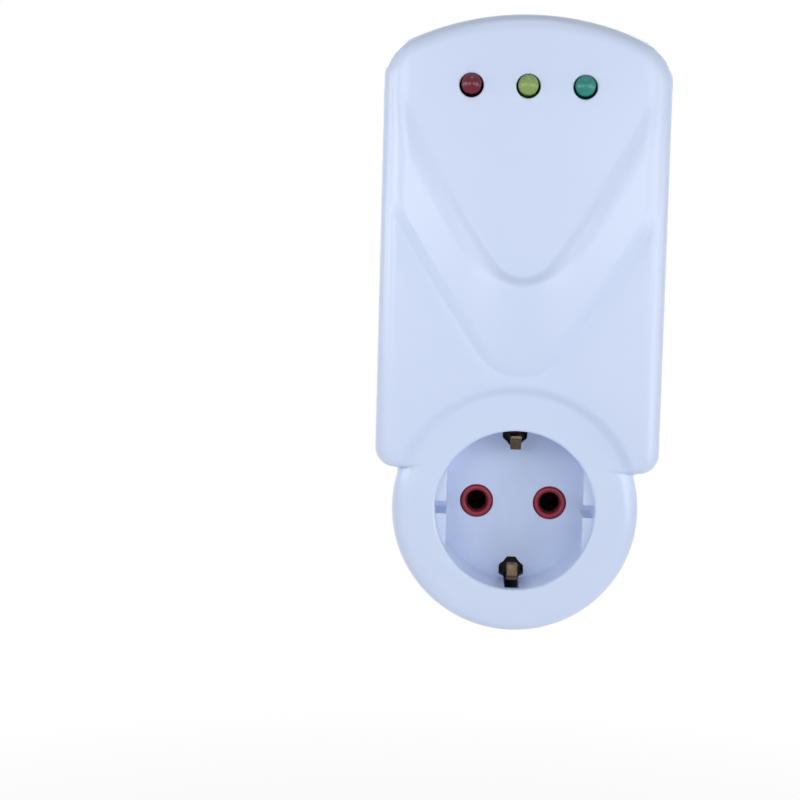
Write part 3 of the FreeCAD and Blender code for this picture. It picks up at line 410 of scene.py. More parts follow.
# Black epoxy, moulded: dull, nearly even black.
BLACK_EPOXY = Finish("moulded_black_epoxy", "#1B1B1E", "#232327", 4.0, 0.5, 0.06, 0.3, 0.01)
# Blue polyester, moulded: even mid blue, half glossy.
BLUE_CASE = Finish("moulded_blue_polyester", "#23528F", "#1B447C", 6.0, 0.4, 0.05, 0.5, 0.008)
# Natural polyamide of a bobbin, moulded: ivory and half dull.
BOBBIN = Finish("moulded_natural_nylon", "#D6CFBA", "#C9C1A9", 5.0, 0.5, 0.05, 0.5, 0.01)
# Resin of a resistor, dipped: tan with an uneven skin.
TAN_RESIN = Finish("dipped_tan_resin", "#B89563", "#A5814F", 2.0, 0.4, 0.06, 0.5, 0.02)
# Plastic sleeve shrunk over an aluminium can: dark and smooth.
CAN_SLEEVE = Finish("shrunk_dark_sleeve", "#2B2F3A", "#353A46", 6.0, 0.3, 0.05, 0.8, 0.006)
# Soda-lime glass tube, drawn: clear with a faint green cast.
GLASS = Finish("drawn_glass_tube", "#E8F0EE", "#DCE8E6", 6.0, 0.05, 0.01, 1.0, 0.001,
               transmission=0.9, ior=1.52)

# The finish of every inner CAD node.
CARRIED = (
    (WHITE_NYLON, "contact_carrier"),
    (DARK_BRONZE, "live_contact neutral_contact earth_bridge"),
    (ZINC_STEEL, "carrier_screws lamp_leads board_screws relay_pins fuse_holders chip_pins"),
    (BOARD, "circuit_board"),
    (BLACK_EPOXY, "relay_base relay_driver control_chip diodes"),
    (BLUE_CASE, "relay_case film_capacitor varistor"),
    (BOBBIN, "relay_bobbin"),
    (COPPER, "relay_coil relay_moving_contact"),
    (IRON, "relay_core relay_yoke relay_armature"),
    (BRASS, "relay_closed_contact relay_open_contact board_terminals live_feed_strip live_output_strip "
            "neutral_feed_strip neutral_link"),
    (CAN_SLEEVE, "large_capacitor small_capacitor"),
    (GLASS, "fuse_tube"),
    (NICKEL, "fuse_caps"),
    (TAN_RESIN, "resistors"),
)


class Workshop:
    """Keeps one material per finish, makes skins into pieces and dresses the inner CAD nodes."""

    def __init__(self) -> None:
        """Starts with no materials."""
        self.made: dict[str, bpy.types.Material] = {}

    def coat(self, finish: Finish) -> bpy.types.Material:
        """Makes a finish's material the first time it is asked for.

        Args:
            finish: the finish.

        Returns:
            Its material.
        """
        if finish.name not in self.made:
            self.made[finish.name] = finish.material()
        return self.made[finish.name]

    def piece(self, skin: Skin, name: str, node: str, finish: Finish,
              body: Body = Body.HOUSING, wall: float = 0.0) -> None:
        """Makes a piece from a skin, gives the skin a wall if it is open, and puts it on its body.

        Args:
            skin: the piece's surface.
            name: the piece's name.
            node: CAD node that it stands for.
            finish: its finish.
            body: body that it rides on.
            wall: wall thickness in millimetres, to the inside; 0 for a closed surface.
        """
        obj = bpy.data.objects.new(name, skin.mesh(name))
        bpy.context.scene.collection.objects.link(obj)
        if wall > 0:
            solid = obj.modifiers.new("wall", "SOLIDIFY")
            solid.thickness = wall * MM
            solid.offset = -1.0
            depsgraph = bpy.context.evaluated_depsgraph_get()
            baked = bpy.data.meshes.new_from_object(obj.evaluated_get(depsgraph))
            obj.modifiers.clear()
            obj.data = baked
        obj.data.shade_smooth()
        obj.data.set_sharp_from_angle(angle=math.radians(SHARP_DEGREES))
        obj.data.materials.clear()
        obj.data.materials.append(self.coat(finish))
        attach(obj, body.value)
        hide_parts(node)
        log.info("%s: %d faces", name, len(obj.data.polygons))

    def dress_carried(self) -> None:
        """Gives every inner CAD node its finish."""
        for finish, nodes in CARRIED:
            for node in nodes.split():
                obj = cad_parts[node]
                if not obj.material_slots:
                    obj.data.materials.append(None)
                for slot in obj.material_slots:
                    slot.material = self.coat(finish)
                log.info("%s: dressed as %s", node, finish.name)


# Pieces


@dataclass(frozen=True)
class Outline:
    """Housing outline seen from the front: an arched upper body over a round drum, eased where they meet."""

    half_width: float = 35.4
    top: float = 122.5
    arch: float = 69.0
    corner: float = 10.0
    foot: float = 5.0
    bottom: float = 10.2
    drum: float = 31.0
    notch: float = 1.6
    drum_points: int = 79

    @property
    def arch_z(self) -> float:
        """Height of the arch's centre."""
        return self.top - self.arch

    @property
    def corner_centre(self) -> Place:
        """Centre of the right top corner."""
        x = self.half_width - self.corner
        return x, self.arch_z + math.sqrt((self.arch - self.corner) ** 2 - x ** 2)

    @property
    def lean(self) -> float:
        """Direction in degrees in which the corner meets the arch."""
        x, z = self.corner_centre
        return math.degrees(math.atan2(z - self.arch_z, x))

    @property
    def foot_centre(self) -> Place:
        """Centre of the right bottom corner."""
        return self.half_width - self.foot, self.bottom + self.foot

    @property
    def notch_centre(self) -> Place:
        """Centre of the easing between drum and bottom corner, notch outside both circles.

        Returns:
            The place where circles of both radii, each plus notch, cross.
        """
        foot = np.array(self.foot_centre)
        apart = np.linalg.norm(foot)
        far, near = self.drum + self.notch, self.foot + self.notch
        along = (far ** 2 - near ** 2 + apart ** 2) / (2 * apart)
        aside = math.sqrt(far ** 2 - along ** 2)
        way = foot / apart
        return tuple(way * along + np.array([way[1], -way[0]]) * aside)

    def lower_right(self, low_side: float, inset: float) -> tuple[Points, Points]:
        """Right lower outline drawn in by inset, from the side down to the drum's lowest point.

        Args:
            low_side: height on the side where it starts; that point is left out.
            inset: distance drawn in.

        Returns:
            Places and outward directions.
        """
        foot, notch = np.array(self.foot_centre), np.array(self.notch_centre)
        to_notch = math.degrees(math.atan2(*(notch - foot)[::-1]))
        to_drum = math.degrees(math.atan2(*notch[::-1]))
        side_z = np.linspace(low_side, foot[1], 7)[1:]
        side = np.stack([np.full(len(side_z), self.half_width - inset), side_z], -1)
        side_n = np.tile([1.0, 0.0], (len(side), 1))
        foot_n = arc_points(1, 0, to_notch, 11)[1:]
        notch_n = -arc_points(1, to_notch + 180, to_drum + 180, 27)[1:]
        drum_n = arc_points(1, to_drum, -90, self.drum_points + 1)[1:]
        return (
            np.concatenate([side, foot + foot_n * (self.foot - inset), notch - notch_n * (self.notch + inset),
                            drum_n * (self.drum - inset)]),
            np.concatenate([side_n, foot_n, notch_n, drum_n]),
        )

    def upper_right(self, low_side: float) -> tuple[Points, Points]:
        """Right upper outline, from the side up to the middle of the arch.

        Args:
            low_side: height on the side where it starts.

        Returns:
            Places and outward directions.
        """
        corner = np.array(self.corner_centre)
        side_z = np.linspace(low_side, corner[1], 40)
        side = np.stack([np.full(len(side_z), self.half_width), side_z], -1)
        side_n = np.tile([1.0, 0.0], (len(side), 1))
        corner_n = arc_points(1, 0, self.lean, 14)[1:]
        arch_n = arc_points(1, self.lean, 90, 30)[1:]
        return (
            np.concatenate([side, corner + corner_n * self.corner, arch_n * self.arch + (0, self.arch_z)]),
            np.concatenate([side_n, corner_n, arch_n]),
        )

    def whole(self) -> list[Points]:
        """Whole outline in one closed turn.

        Returns:
            Places and outward directions.
        """
        low_side = 20.0
        pairs = zip(self.lower_right(low_side, 0), self.upper_right(low_side))
        halves = [np.concatenate([down[::-1], up]) for down, up in pairs]
        return [np.concatenate([right, right[1:-1][::-1] * (-1, 1)]) for right in halves]

    def body_distance(self, x: Points, z: Points) -> Points:
        """Distance inside the upper body's outline, negative outside.

        Args:
            x: places across.
            z: places up.

        Returns:
            The least distance to the sides, the bottom, the arch or a corner.
        """
        ax = np.abs(x)
        cx, cz = self.corner_centre
        fx, fz = self.foot_centre
        inside = np.minimum(np.minimum(self.half_width - ax, z - self.bottom),
                            self.arch - np.hypot(x, z - self.arch_z))
        turn = np.degrees(np.arctan2(z - cz, ax - cx))
        at_corner = (turn > 0) & (turn < self.lean)
        inside = np.where(at_corner, self.corner - np.hypot(ax - cx, z - cz), inside)
        at_foot = (ax > fx) & (z < fz)
        return np.where(at_foot, self.foot - np.hypot(ax - fx, z - fz), inside)


@dataclass(frozen=True)
class Chevron:
    """V line: a round tip and two slightly bowed arms."""

    tip: float
    bend: float
    lean_degrees: float
    arm: float

    @property
    def lean(self) -> float:
        """Turn over which the tip bends, in radians."""
        return math.radians(self.lean_degrees)

    @property
    def arm_centre(self) -> Place:
        """Centre of the right arm's long arc."""
        reach = self.arm - self.bend
        return -reach * math.sin(self.lean), self.tip + self.bend + reach * math.cos(self.lean)

    def outside(self, x: Points, z: Points) -> Points:
        """Distance outside the V line, negative inside it: distance to the arc's centre less its radius.

        Args:
            x: places across.
            z: places up.

        Returns:
            The distances.
        """
        ax = np.abs(x)
        arm_x, arm_z = self.arm_centre
        past = (ax - arm_x) * math.cos(self.lean) + (z - arm_z) * math.sin(self.lean)
        at_tip = np.hypot(ax, z - (self.tip + self.bend)) - self.bend
        return np.where(past < 0, at_tip, np.hypot(ax - arm_x, z - arm_z) - self.arm)

    def height(self, x: Points, grow: float) -> Points:
        """Height of the V line grown outwards, over places across.

        Args:
            x: places across.
            grow: distance outwards.

        Returns:
            Height z where the distance outside is grow.
        """
        ax = np.abs(x)
        arm_x, arm_z = self.arm_centre
        tip = self.tip + self.bend - np.sqrt(np.maximum((self.bend + grow) ** 2 - ax ** 2, 0))
        arm = arm_z - np.sqrt(np.maximum((self.arm + grow) ** 2 - (ax - arm_x) ** 2, 0))
        return np.where(ax < (self.bend + grow) * math.sin(self.lean), tip, arm)


@dataclass(frozen=True)
class FrontCover:
    """White front moulding: chevron relief, stepped ring and socket cup."""

    outline: Outline = Outline()
    outer: Chevron = Chevron(34.2, 12.0, 55.0, 570.0)
    inner: Chevron = Chevron(58.6, 7.4, 55.7, 342.0)
    main: float = -58.5
    edge: float = 4.2
    drum_edge: float = 4.5
    band: float = 4.5
    # Ring and step round the socket.
    ring_drop: float = 3.5
    ring_start: float = 21.4
    sweep: float = 0.9
    sweep_cap: float = 1.3
    step_foot: float = 28.8
    step_top: float = 32.3
    # Wall of the outer V and the hollow outside it.
    wall_run: float = 3.0
    wall_start: float = 2.5
    wall_power: float = 1.6
    wall_ease: float = 0.05
    hollow: float = 0.32
    hollow_reach: float = 2.2
    # Fall from the crest to the panel, at the tip and on the arms.
    tip_fall: float = 2.7
    arm_fall: float = 6.0
    tip_height: float = 1.9
    arm_height: float = 1.1
    tip_power: float = 2.0
    arm_power: float = 4.0
    arm_from: float = 3.0
    arm_over: float = 11.0
    fade_low: float = 66.0
    fade_high: float = 116.0
    fade_lean: float = 0.54
    band_slope: float = 0.062
    panel_height: float = 0.65
    side_start: float = 28.6
    side_run: float = 6.2
    # Lower edge of the upper grid, and where the relief starts under the outer V.
    bow_top: float = 32.5
    bow_fall: float = 0.0125
    relief_below: float = 6.0
    relief_over: float = 4.0
    # Socket cup.
    mouth: float = 20.0
    rim: float = 0.8
    cup_depth: float = 17.5
    floor_thickness: float = 2.5
    pad_chord: float = 17.2
    pad_slot: float = 1.6
    pad_sink: float = 2.8
    slot_half: float = 1.9
    slot_back: float = 23.4
    sleeve_seat: float = 4.35
    # Lamp holes.
    lamp_hole: float = 2.95
    lamp_edge: float = 0.3
    lamp_deep: float = 3.4
    lamp_block: float = 4.1
    # Points of the flat and the bent columns, and rows of the grids' groups.
    flat_columns: int = 47
    bent_columns: int = 13
    group_rows: tuple[int, ...] = (26, 16, 20, 18, 66)
    ring_rows: tuple[int, ...] = (8, 14, 3)

    def relief(self, x: Points, z: Points) -> Points:
        """Height of the chevrons over the main face.

        From the panel's edge the surface rises as 1 - (1 - t)^p (1 + p t) to the crest, which fades out up
        the arms, and from there the band sinks in proportion to the distance. Towards the outer V it drops
        as a power, and outside it the main face is hollow by an exponential that dies away. Drop and hollow
        join as the half sum of both plus the root of their half difference squared plus ease squared, and
        all of it fades out at the sides.

        Args:
            x: places across.
            z: places up.

        Returns:
            The heights.
        """
        out, inn = self.outer.outside(x, z), self.inner.outside(x, z)
        arm = soft_step((np.abs(x) - self.arm_from) / self.arm_over)
        width = self.tip_fall + (self.arm_fall - self.tip_fall) * arm
        fall = self.tip_height + (self.arm_height - self.tip_height) * arm
        faded = (z + self.fade_lean * np.maximum(inn, 0) - self.fade_low) / (self.fade_high - self.fade_low)
        fall = fall * (1 - soft_step(faded))
        power = self.tip_power + (self.arm_power - self.tip_power) * arm
        t = np.clip(inn / width, 0, 1)
        rise = 1 - (1 - t) ** power * (1 + power * t)
        band = self.panel_height + fall * rise - self.band_slope * np.maximum(inn - width, 0)
        band = np.maximum(band, 0)
        past = np.maximum(out + self.wall_start, 0)
        drop = band - (band + self.hollow) * (past / self.wall_run) ** self.wall_power
        floor = -self.hollow * np.exp(-np.maximum(past - self.wall_run, 0) / self.hollow_reach)
        joined = (drop + floor) / 2 + np.sqrt(((drop - floor) / 2) ** 2 + self.wall_ease ** 2)
        return joined * (1 - soft_step((np.abs(x) - self.side_start) / self.side_run))

    def height(self, x: Points, z: Points) -> Points:
        """Height of the front over the main face, negative behind it.

        The ring sweeps up to the step as a square, the step rises as half a cosine and joins the rounded
        rim as the fourth root of the sum of fourth powers. The front is the less deep of this upper body
        and the drum with its rounded rim, plus the relief.

        Args:
            x: places across.
            z: places up.

        Returns:
            The heights.
        """
        r = np.hypot(x, z)
        along = (r - self.ring_start) / (self.step_foot - self.ring_start)
        sweep = self.sweep * np.clip(along, 0, self.sweep_cap) ** 2
        climb = (r - self.step_foot) / (self.step_top - self.step_foot)
        step = (self.ring_drop - sweep) * (1 - soft_step(climb))
        rim = edge_drop(self.outline.body_distance(x, z), self.edge)
        upper = (step ** 4 + rim ** 4) ** 0.25
        drum = self.ring_drop + edge_drop(self.outline.drum - r, self.drum_edge)
        start = soft_step((z - self.outer.tip + self.relief_below) / self.relief_over)
        return self.relief(x, z) * start - np.minimum(upper, drum)

    def surface(self, places: Points) -> Points:
        """Places across and up, the last axis of any array, with the front's depth put between."""
        x, z = places[..., 0], places[..., 1]
        return np.stack([x, self.main - self.height(x, z), z], -1)

    @property
    def inner_corner(self) -> tuple[float, float, float, float]:
        """Right corner of the outline drawn in by the band.

        Returns:
            Its centre across and up, its radius, and the place across where it meets the arch.
        """
        cx, cz = self.outline.corner_centre
        radius = self.outline.corner - self.band
        return cx, cz, radius, cx + radius * math.cos(math.radians(self.outline.lean))

    def columns(self) -> Points:
        """Columns of the upper grid, closer together towards the corners.

        Returns:
            Places across, from left to right.
        """
        cx, _, radius, meet = self.inner_corner
        bent = arc_points(radius, self.outline.lean, 0, self.bent_columns, (cx, 0))[1:, 0]
        half = np.concatenate([np.linspace(0, meet, self.flat_columns), bent])
        return np.concatenate([-half[::-1][:-1], half])

    def top_line(self, x: Points) -> Points:
        """Height of the drawn-in arch and corners: centre plus the root of radius squared less x squared.

        Args:
            x: places across.

        Returns:
            The heights.
        """
        cx, cz, radius, meet = self.inner_corner
        arch = self.outline.arch_z + np.sqrt((self.outline.arch - self.band) ** 2 - x ** 2)
        bent = cz + np.sqrt(np.maximum(radius ** 2 - (np.abs(x) - cx) ** 2, 0))
        return np.where(np.abs(x) <= meet, arch, bent)

    def upper_grid(self) -> Points:
        """Upper grid: rows between a low bow, the V lines, the crest and the arch.

        The rows of the first group crowd towards the outer V.

        Returns:
            Rows by columns by 2 places.
        """
        x = self.columns()
        rows = [(self.bow_top - self.bow_fall * x ** 2)[None]]
        lines = (self.outer.height(x, self.wall_run - self.wall_start), self.outer.height(x, -self.wall_start),
                 self.inner.height(x, self.arm_fall + 0.8), self.inner.height(x, -0.1), self.top_line(x))
        for high, count in zip(lines, self.group_rows):
            share = np.linspace(0, 1, count + 1)[1:, None]
            if len(rows) == 1:
                share = 1 - (1 - share) ** 2
            low = rows[-1][-1]
            rows.append(low + (high - low) * share)
        z = np.concatenate(rows)
        return np.stack([np.broadcast_to(x, z.shape), z], -1)

    def band_grid(self, places: Points, skin: Skin) -> None:
        """Adds the rounded rim and the side wall, along outward directions from the drawn-in outline.

        Args:
            places: the upper grid, whose sides and top give the rim its columns.
            skin: gathers the surface.
        """
        side, top = places[:, -1], places[-1]
        cx, cz, radius, meet = self.inner_corner
        arch_n = (top - (0, self.outline.arch_z)) / (self.outline.arch - self.band)
        corner_n = (top - np.stack([np.sign(top[:, 0]) * cx, np.full(len(top), cz)], -1)) / radius
        top_n = np.where(np.abs(top[:, :1]) <= meet, arch_n, corner_n)
        low, low_n = self.outline.lower_right(side[0, 1], self.band)
        side_n = np.tile([1.0, 0.0], (len(side), 1))
        turns = []
        for below, beside, over in ((low, side, top), (low_n, side_n, top_n)):
            right = np.concatenate([below[::-1], beside])
            turns.append(np.concatenate([right, over[::-1][1:-1], (right * (-1, 1))[::-1][:-1]]))
        loop, loop_n = turns
        away = np.concatenate([[0], self.band - self.edge * rounding(12)[:, 0]])
        rows = self.surface(loop + loop_n * away[:, None, None])
        skin.grid(rows)
        last = rows[-1]
        end = last * (1, 0, 1) + (0, SPLIT - LIP[0][1], 0)
        skin.grid(last + (end - last) * np.array([0, 0.3, 0.65, 1])[:, None, None])
        skin.layers([(last[:, [0, 2]] - loop_n * inward, SPLIT - back) for inward, back in LIP])

    def ring_grid(self, places: Points, skin: Skin) -> None:
        """Adds the ring and the step: polar rows between a circle near the mouth and the grids around it.

        Args:
            places: the upper grid; its lowest row is the ring's upper edge.
            skin: gathers the surface.
        """
        bow = places[0][len(places[0]) // 2:]
        low, _ = self.outline.lower_right(bow[-1, 1], self.band)
        side = len(bow) - 1
        drum = len(bow) + len(low) - self.outline.drum_points
        outer = np.concatenate([bow, low])
        angle = np.degrees(np.arctan2(outer[:, 1], outer[:, 0]))
        start = 45.0
        inner = angle.copy()
        inner[:side + 1] = start + (angle[:side + 1] - angle[side]) * (90 - start) / (90 - angle[side])
        run = np.cumsum(np.linalg.norm(np.diff(outer[side:drum], axis=0), axis=1))
        inner[side + 1:drum] = start + (angle[drum - 1] - start) * run / run[-1]
        far = np.hypot(outer[:, 0], outer[:, 1])
        near = np.full(len(far), self.ring_start)
        reach = far - near
        first = np.minimum(self.step_foot - 0.4, near + 0.6 * reach)
        second = np.minimum(self.step_top + 0.1, near + 0.94 * reach)
        radii = [near[None]]
        for wide, count in zip((first, second, far), self.ring_rows):
            share = np.linspace(0, 1, count + 1)[1:, None]
            radii.append(near + (wide - near) * share)
            near = wide
        radius = np.concatenate(radii)
        turn = np.radians(inner + (angle - inner) * (radius - self.ring_start) / reach)
        right = np.stack([radius * np.cos(turn), radius * np.sin(turn)], -1)
        right[-1] = outer
        both = np.concatenate([right, right[:, ::-1][:, 1:-1] * (-1, 1)], 1)
        skin.grid(self.surface(both))
        cup = self.cup_outline()
        rim = cup / np.linalg.norm(cup, axis=1, keepdims=True) * (self.mouth + self.rim)
        skin.fill([both[0], rim], self.main + self.ring_drop)

    def cup_outline(self) -> Points:
        """Outline of the cup's wall seen from the front: circle, flat guide pads and the clips' slots.

        Returns:
            The closed outline.
        """
        r, chord, gap = self.mouth, self.pad_chord, self.pad_slot
        low = math.degrees(math.asin((gap - 0.25) / r))
        end = math.sqrt(r * r - chord * chord)
        high = math.degrees(math.atan2(end, chord)) + 0.8
        slot = math.degrees(math.acos((self.slot_half + 0.3) / r))
        flat = [(chord, z) for z in np.linspace(gap + 1.2, end - 1.0, 6)]
        pad = [(math.sqrt(r * r - gap * gap), gap), (chord, gap), *flat, (chord, end)]
        groove = [(self.slot_half, math.sqrt(r * r - self.slot_half ** 2)), (self.slot_half, self.slot_back),
                  (0, self.slot_back)]
        return four_ways(np.concatenate([
            arc_points(r, 0, low, 4)[:-1],
            eased_corners(np.concatenate([on_circle(r, low), pad, on_circle(r, high)]), 0.25, 4),
            arc_points(r, high, slot, 46)[1:-1],
            eased_corners(np.concatenate([on_circle(r, slot), groove]), 0.2, 4)]))

    def window(self) -> Points:
        """Outline of the upper window in the cup's floor: narrow below, wide in the middle, a neck above.

        Returns:
            The closed outline.
        """
        right = np.array([(1.1, 14.45), (2.0, 15.7), (3.15, 16.6), (3.25, 19.1), (1.9, 19.8), (1.9, 23.2)])
        return eased_corners(np.concatenate([right, right[::-1] * (-1, 1)]), 0.6, 5, True)

    def cup(self, skin: Skin) -> None:
        """Adds the socket cup: rounded rim, wall with pads, floor with its windows and sleeve seats.

        Args:
            skin: gathers the surface.
        """
        outline = self.cup_outline()
        unit = outline / np.linalg.norm(outline, axis=1, keepdims=True)
        ring, sink, deep = self.main + self.ring_drop, self.pad_sink, self.cup_depth
        loops = [(unit * (self.mouth + self.rim * out), ring + self.rim * back) for out, back in rounding(8)]
        ledge = ((1.6, 0), (sink - 0.3, 0), (sink, 0), (sink, 0.04), (sink, 0.85), (sink + 0.06, 0.95),
                 (sink + 0.2, 1), (sink + 3, 1), (deep / 2, 1), (deep - 2, 1), (deep, 1))
        loops += [(unit * self.mouth + (outline - unit * self.mouth) * share, ring + depth)
                  for depth, share in ledge]
        skin.layers(loops)
        floor = ring + deep
        holes = [self.window(), self.window() * (1, -1)]
        holes += [circle(self.sleeve_seat, 48, (side * PIN_X, 0)) for side in (-1, 1)]
        skin.fill([outline] + holes, floor)
        for hole in holes:
            skin.layers([(hole, floor + depth) for depth in (0, 1.2, self.floor_thickness)])

    def panel(self, places: Points, skin: Skin) -> None:
        """Adds the upper grid with a round lamp hole in each of three square blocks.

        A block's rim points are joined to the points of the hole in the same directions.

        Args:
            places: the upper grid.
            skin: gathers the surface.
        """
        x, z = places[0, :, 0], places[..., 1]
        keep = np.ones((places.shape[0] - 1, places.shape[1] - 1), bool)
        wide = self.lamp_hole + self.lamp_edge
        for column in (-1, 0, 1):
            cx = column * LAMP_PITCH
            i0 = np.searchsorted(x, cx - self.lamp_block) - 1
            i1 = np.searchsorted(x, cx + self.lamp_block)
            j0 = np.flatnonzero((z[:, i0:i1 + 1] < LAMP_Z - self.lamp_block).all(1))[-1]
            j1 = np.flatnonzero((z[:, i0:i1 + 1] > LAMP_Z + self.lamp_block).all(1))[0]
            keep[j0:j1, i0:i1] = False
            loop = np.concatenate([
                places[j0, i0:i1], places[j0:j1, i1], places[j1, i0 + 1:i1 + 1][::-1],
                places[j0 + 1:j1 + 1, i0][::-1]])
            centre = np.array([cx, LAMP_Z])
            size = np.linalg.norm(loop - centre, axis=1, keepdims=True)
            way = (loop - centre) / size
            share = np.array([1, 0.75, 0.5, 0.25, 0])[:, None, None]
            rows = self.surface(centre + way * (wide + share * (size - wide)))
            face = rows[-1][:, 1].mean()
            rim = [(self.lamp_hole + self.lamp_edge * out, self.lamp_edge * back)
                   for out, back in rounding(3, 30)]
            hole = [np.insert(centre + way * radius, 1, face + deep, 1)
                    for radius, deep in rim + [(self.lamp_hole, self.lamp_deep)]]
            skin.grid(np.concatenate([rows, hole]))
        rows, columns = places.shape[:2]
        index = np.arange(rows * columns).reshape(rows, columns)
        quads = np.stack([index[:-1, :-1], index[:-1, 1:], index[1:, 1:], index[1:, :-1]], -1)[keep]
        skin.add(self.surface(places).reshape(-1, 3), quads)

    def build(self, shop: Workshop) -> None:
        """Makes the front cover.

        Args:
            shop: makes the piece.
        """
        skin = Skin()
        places = self.upper_grid()
        for part in (self.panel, self.band_grid, self.ring_grid):
            part(places, skin)
        self.cup(skin)
        shop.piece(skin, "front_moulding", "front_cover", WHITE_ABS, wall=SKIN_WALL)


@dataclass(frozen=True)
class RearCover:
    """White rear moulding with the round plug body and four deep screw seats."""

    outline: Outline = Outline()
    back: float = -18.5
    edge: float = 1.8
    plug: float = 18.5
    flat: float = 16.8
    rib_half: float = 1.3
    channel_half: float = 2.3
    channel: float = 16.8
    bore: float = 14.8
    bore_edge: float = 0.2
    bore_depth: float = 4.0
    plug_edge: float = 1.0
    plug_flare: float = 1.02
    seat: float = 3.2
    seat_edge: float = 0.3
    seat_depth: float = 8.5
    shank: float = 1.65
    shank_depth: float = 2.0
    blend: float = 1.5

    def plug_outline(self) -> Points:
        """Outline of the plug body: circle with two ribbed flats and two channels for the earth strips.

        Returns:
            The closed outline.
        """
        r, half = self.plug, self.channel_half
        rib, top = math.degrees(math.asin(self.rib_half / r)), math.degrees(math.acos(self.flat / r))
        gap = math.degrees(math.acos((half + 0.4) / r))
        end = self.flat * math.tan(math.radians(top))
        flat = [(self.flat, self.rib_half), (self.flat, (self.rib_half + end) / 2), (self.flat, end - 0.01)]
        channel = [(half, math.sqrt(r * r - half ** 2)), (half, self.channel), (0, self.channel)]
        return four_ways(np.concatenate([
            arc_points(r, 0, rib - self.blend, 4)[:-1],
            eased_corners(np.concatenate([on_circle(r, rib - self.blend), on_circle(r, rib), flat,
                                          on_circle(r, top + self.blend)]), 0.3, 4),
            arc_points(r, top + self.blend, gap, 34)[1:-1],
            eased_corners(np.concatenate([on_circle(r, gap), channel]), 0.25, 4)]))

    def shell(self, skin: Skin) -> Points:
        """Adds the lip, the side wall and the rounded back rim.

        Args:
            skin: gathers the surface.

        Returns:
            The loop where the flat back starts.
        """
        loop, way = self.outline.whole()
        loops = [(loop - way * inward, SPLIT + forward) for inward, forward in LIP[::-1]]
        loops += [(loop, depth) for depth in (-30.0, -26.0, self.back - self.edge - 1)]
        loops += [(loop - way * self.edge * away, self.back - self.edge * back) for back, away in rounding(8)]
        skin.layers(loops)
        return loops[-1][0]

    def build(self, shop: Workshop) -> None:
        """Makes the rear cover: shell, flat back, screw seats and plug body.

        Args:
            shop: makes the piece.
        """
        skin = Skin()
        rim = self.shell(skin)
        plug, wide = self.plug_outline(), self.seat + self.seat_edge
        deep = self.back - self.seat_depth
        seat = [(wide, self.back), (self.seat + 0.1, self.back - 0.07), (self.seat, self.back - self.seat_edge),
                (self.seat, self.back - 4), (self.seat, deep), (self.shank, deep),
                (self.shank, deep - self.shank_depth)]
        for centre in SCREWS:
            skin.turn(np.array(seat), SMALL_ROUND, centre)
        seats = [circle(wide, SMALL_ROUND, centre) for centre in SCREWS]
        skin.fill([rim, plug * self.plug_flare] + seats, self.back)
        loops = [(plug * scale, depth) for scale, depth in (
            (self.plug_flare, self.back), (1.006, self.back + 0.08), (1.0, self.back + 0.35), (1.0, -12),
            (1.0, -6), (1.0, -self.plug_edge))]
        loops += [(plug * (1 - self.plug_edge / self.plug * away), -self.plug_edge * back)
                  for back, away in rounding(6, 15)]
        skin.layers(loops)
        skin.fill([loops[-1][0], circle(self.bore + self.bore_edge, WIDE_ROUND)], 0.0)
        bore = [(self.bore + self.bore_edge, 0), (self.bore + 0.06, -0.06), (self.bore, -self.bore_edge),
                (self.bore, -self.bore_depth)]
        skin.turn(np.array(bore), WIDE_ROUND)
        shop.piece(skin, "rear_moulding", "rear_cover", WHITE_ABS, wall=SKIN_WALL)


@dataclass(frozen=True)
class SocketSleeves:
    """Red sleeves that line the two pin holes."""

    outer: float = 4.3
    lip: float = 4.0
    groove: float = 0.9
    bore: float = 2.7
    funnel: float = 0.6
    funnel_depth: float = 0.75
    front: float = -37.9
    back: float = -35.0
    ease: float = 0.15
    segments: int = 64

    def build(self, shop: Workshop) -> None:
        """Makes both sleeves: a ring profile with a grooved lip and a funnelled bore, turned.

        Args:
            shop: makes the pieces.
        """
        bore, front, groove = self.bore, self.front, self.front + self.groove
        profile = eased_corners([
            (bore, self.back), (bore, front + self.funnel_depth), (bore + 0.35, front + 0.1),
            (bore + self.funnel, front), (self.lip - 0.1, front), (self.lip, groove),
            (self.outer, groove), (self.outer, self.back)], self.ease, 3, True)
        for side, word in ((-1, "left"), (1, "right")):
            skin = Skin()
            skin.turn(np.concatenate([profile, profile[:1]]), self.segments, (side * PIN_X, 0))
            shop.piece(skin, word + "_sleeve_ring", word + "_socket_sleeve", RED_SLEEVE)


def strip_solid(path: Points, thickness: float, width: float, ease: float) -> Skin:
    """Bent strip: a rounded rectangle carried along a path in depth and height.

    Each section is the path's point plus its normal times the half thickness, across the width.

    Args:
        path: n by 2 depths and heights.
        thickness: strip thickness.
        width: strip width.
        ease: radius of its long edges.

    Returns:
        The closed surface.
    """
    way = np.gradient(path, axis=0)
    way /= np.linalg.norm(way, axis=1, keepdims=True)
    side = np.stack([-way[:, 1], way[:, 0]], -1)
    half, deep = width / 2, thickness / 2
    section = eased_corners([(-half, -deep), (half, -deep), (half, deep), (-half, deep)], ease, 3, True)
    x = np.broadcast_to(section[None, :, 0], (len(path), len(section)))
    place = path[:, None] + section[None, :, 1, None] * side[:, None]
    rows = np.concatenate([x[..., None], place], -1)
    first, last = [np.broadcast_to(row.mean(1, keepdims=True), row.shape) for row in (rows[:1], rows[-1:])]
    skin = Skin()
    skin.grid(np.concatenate([first, rows, last]))
    return skin


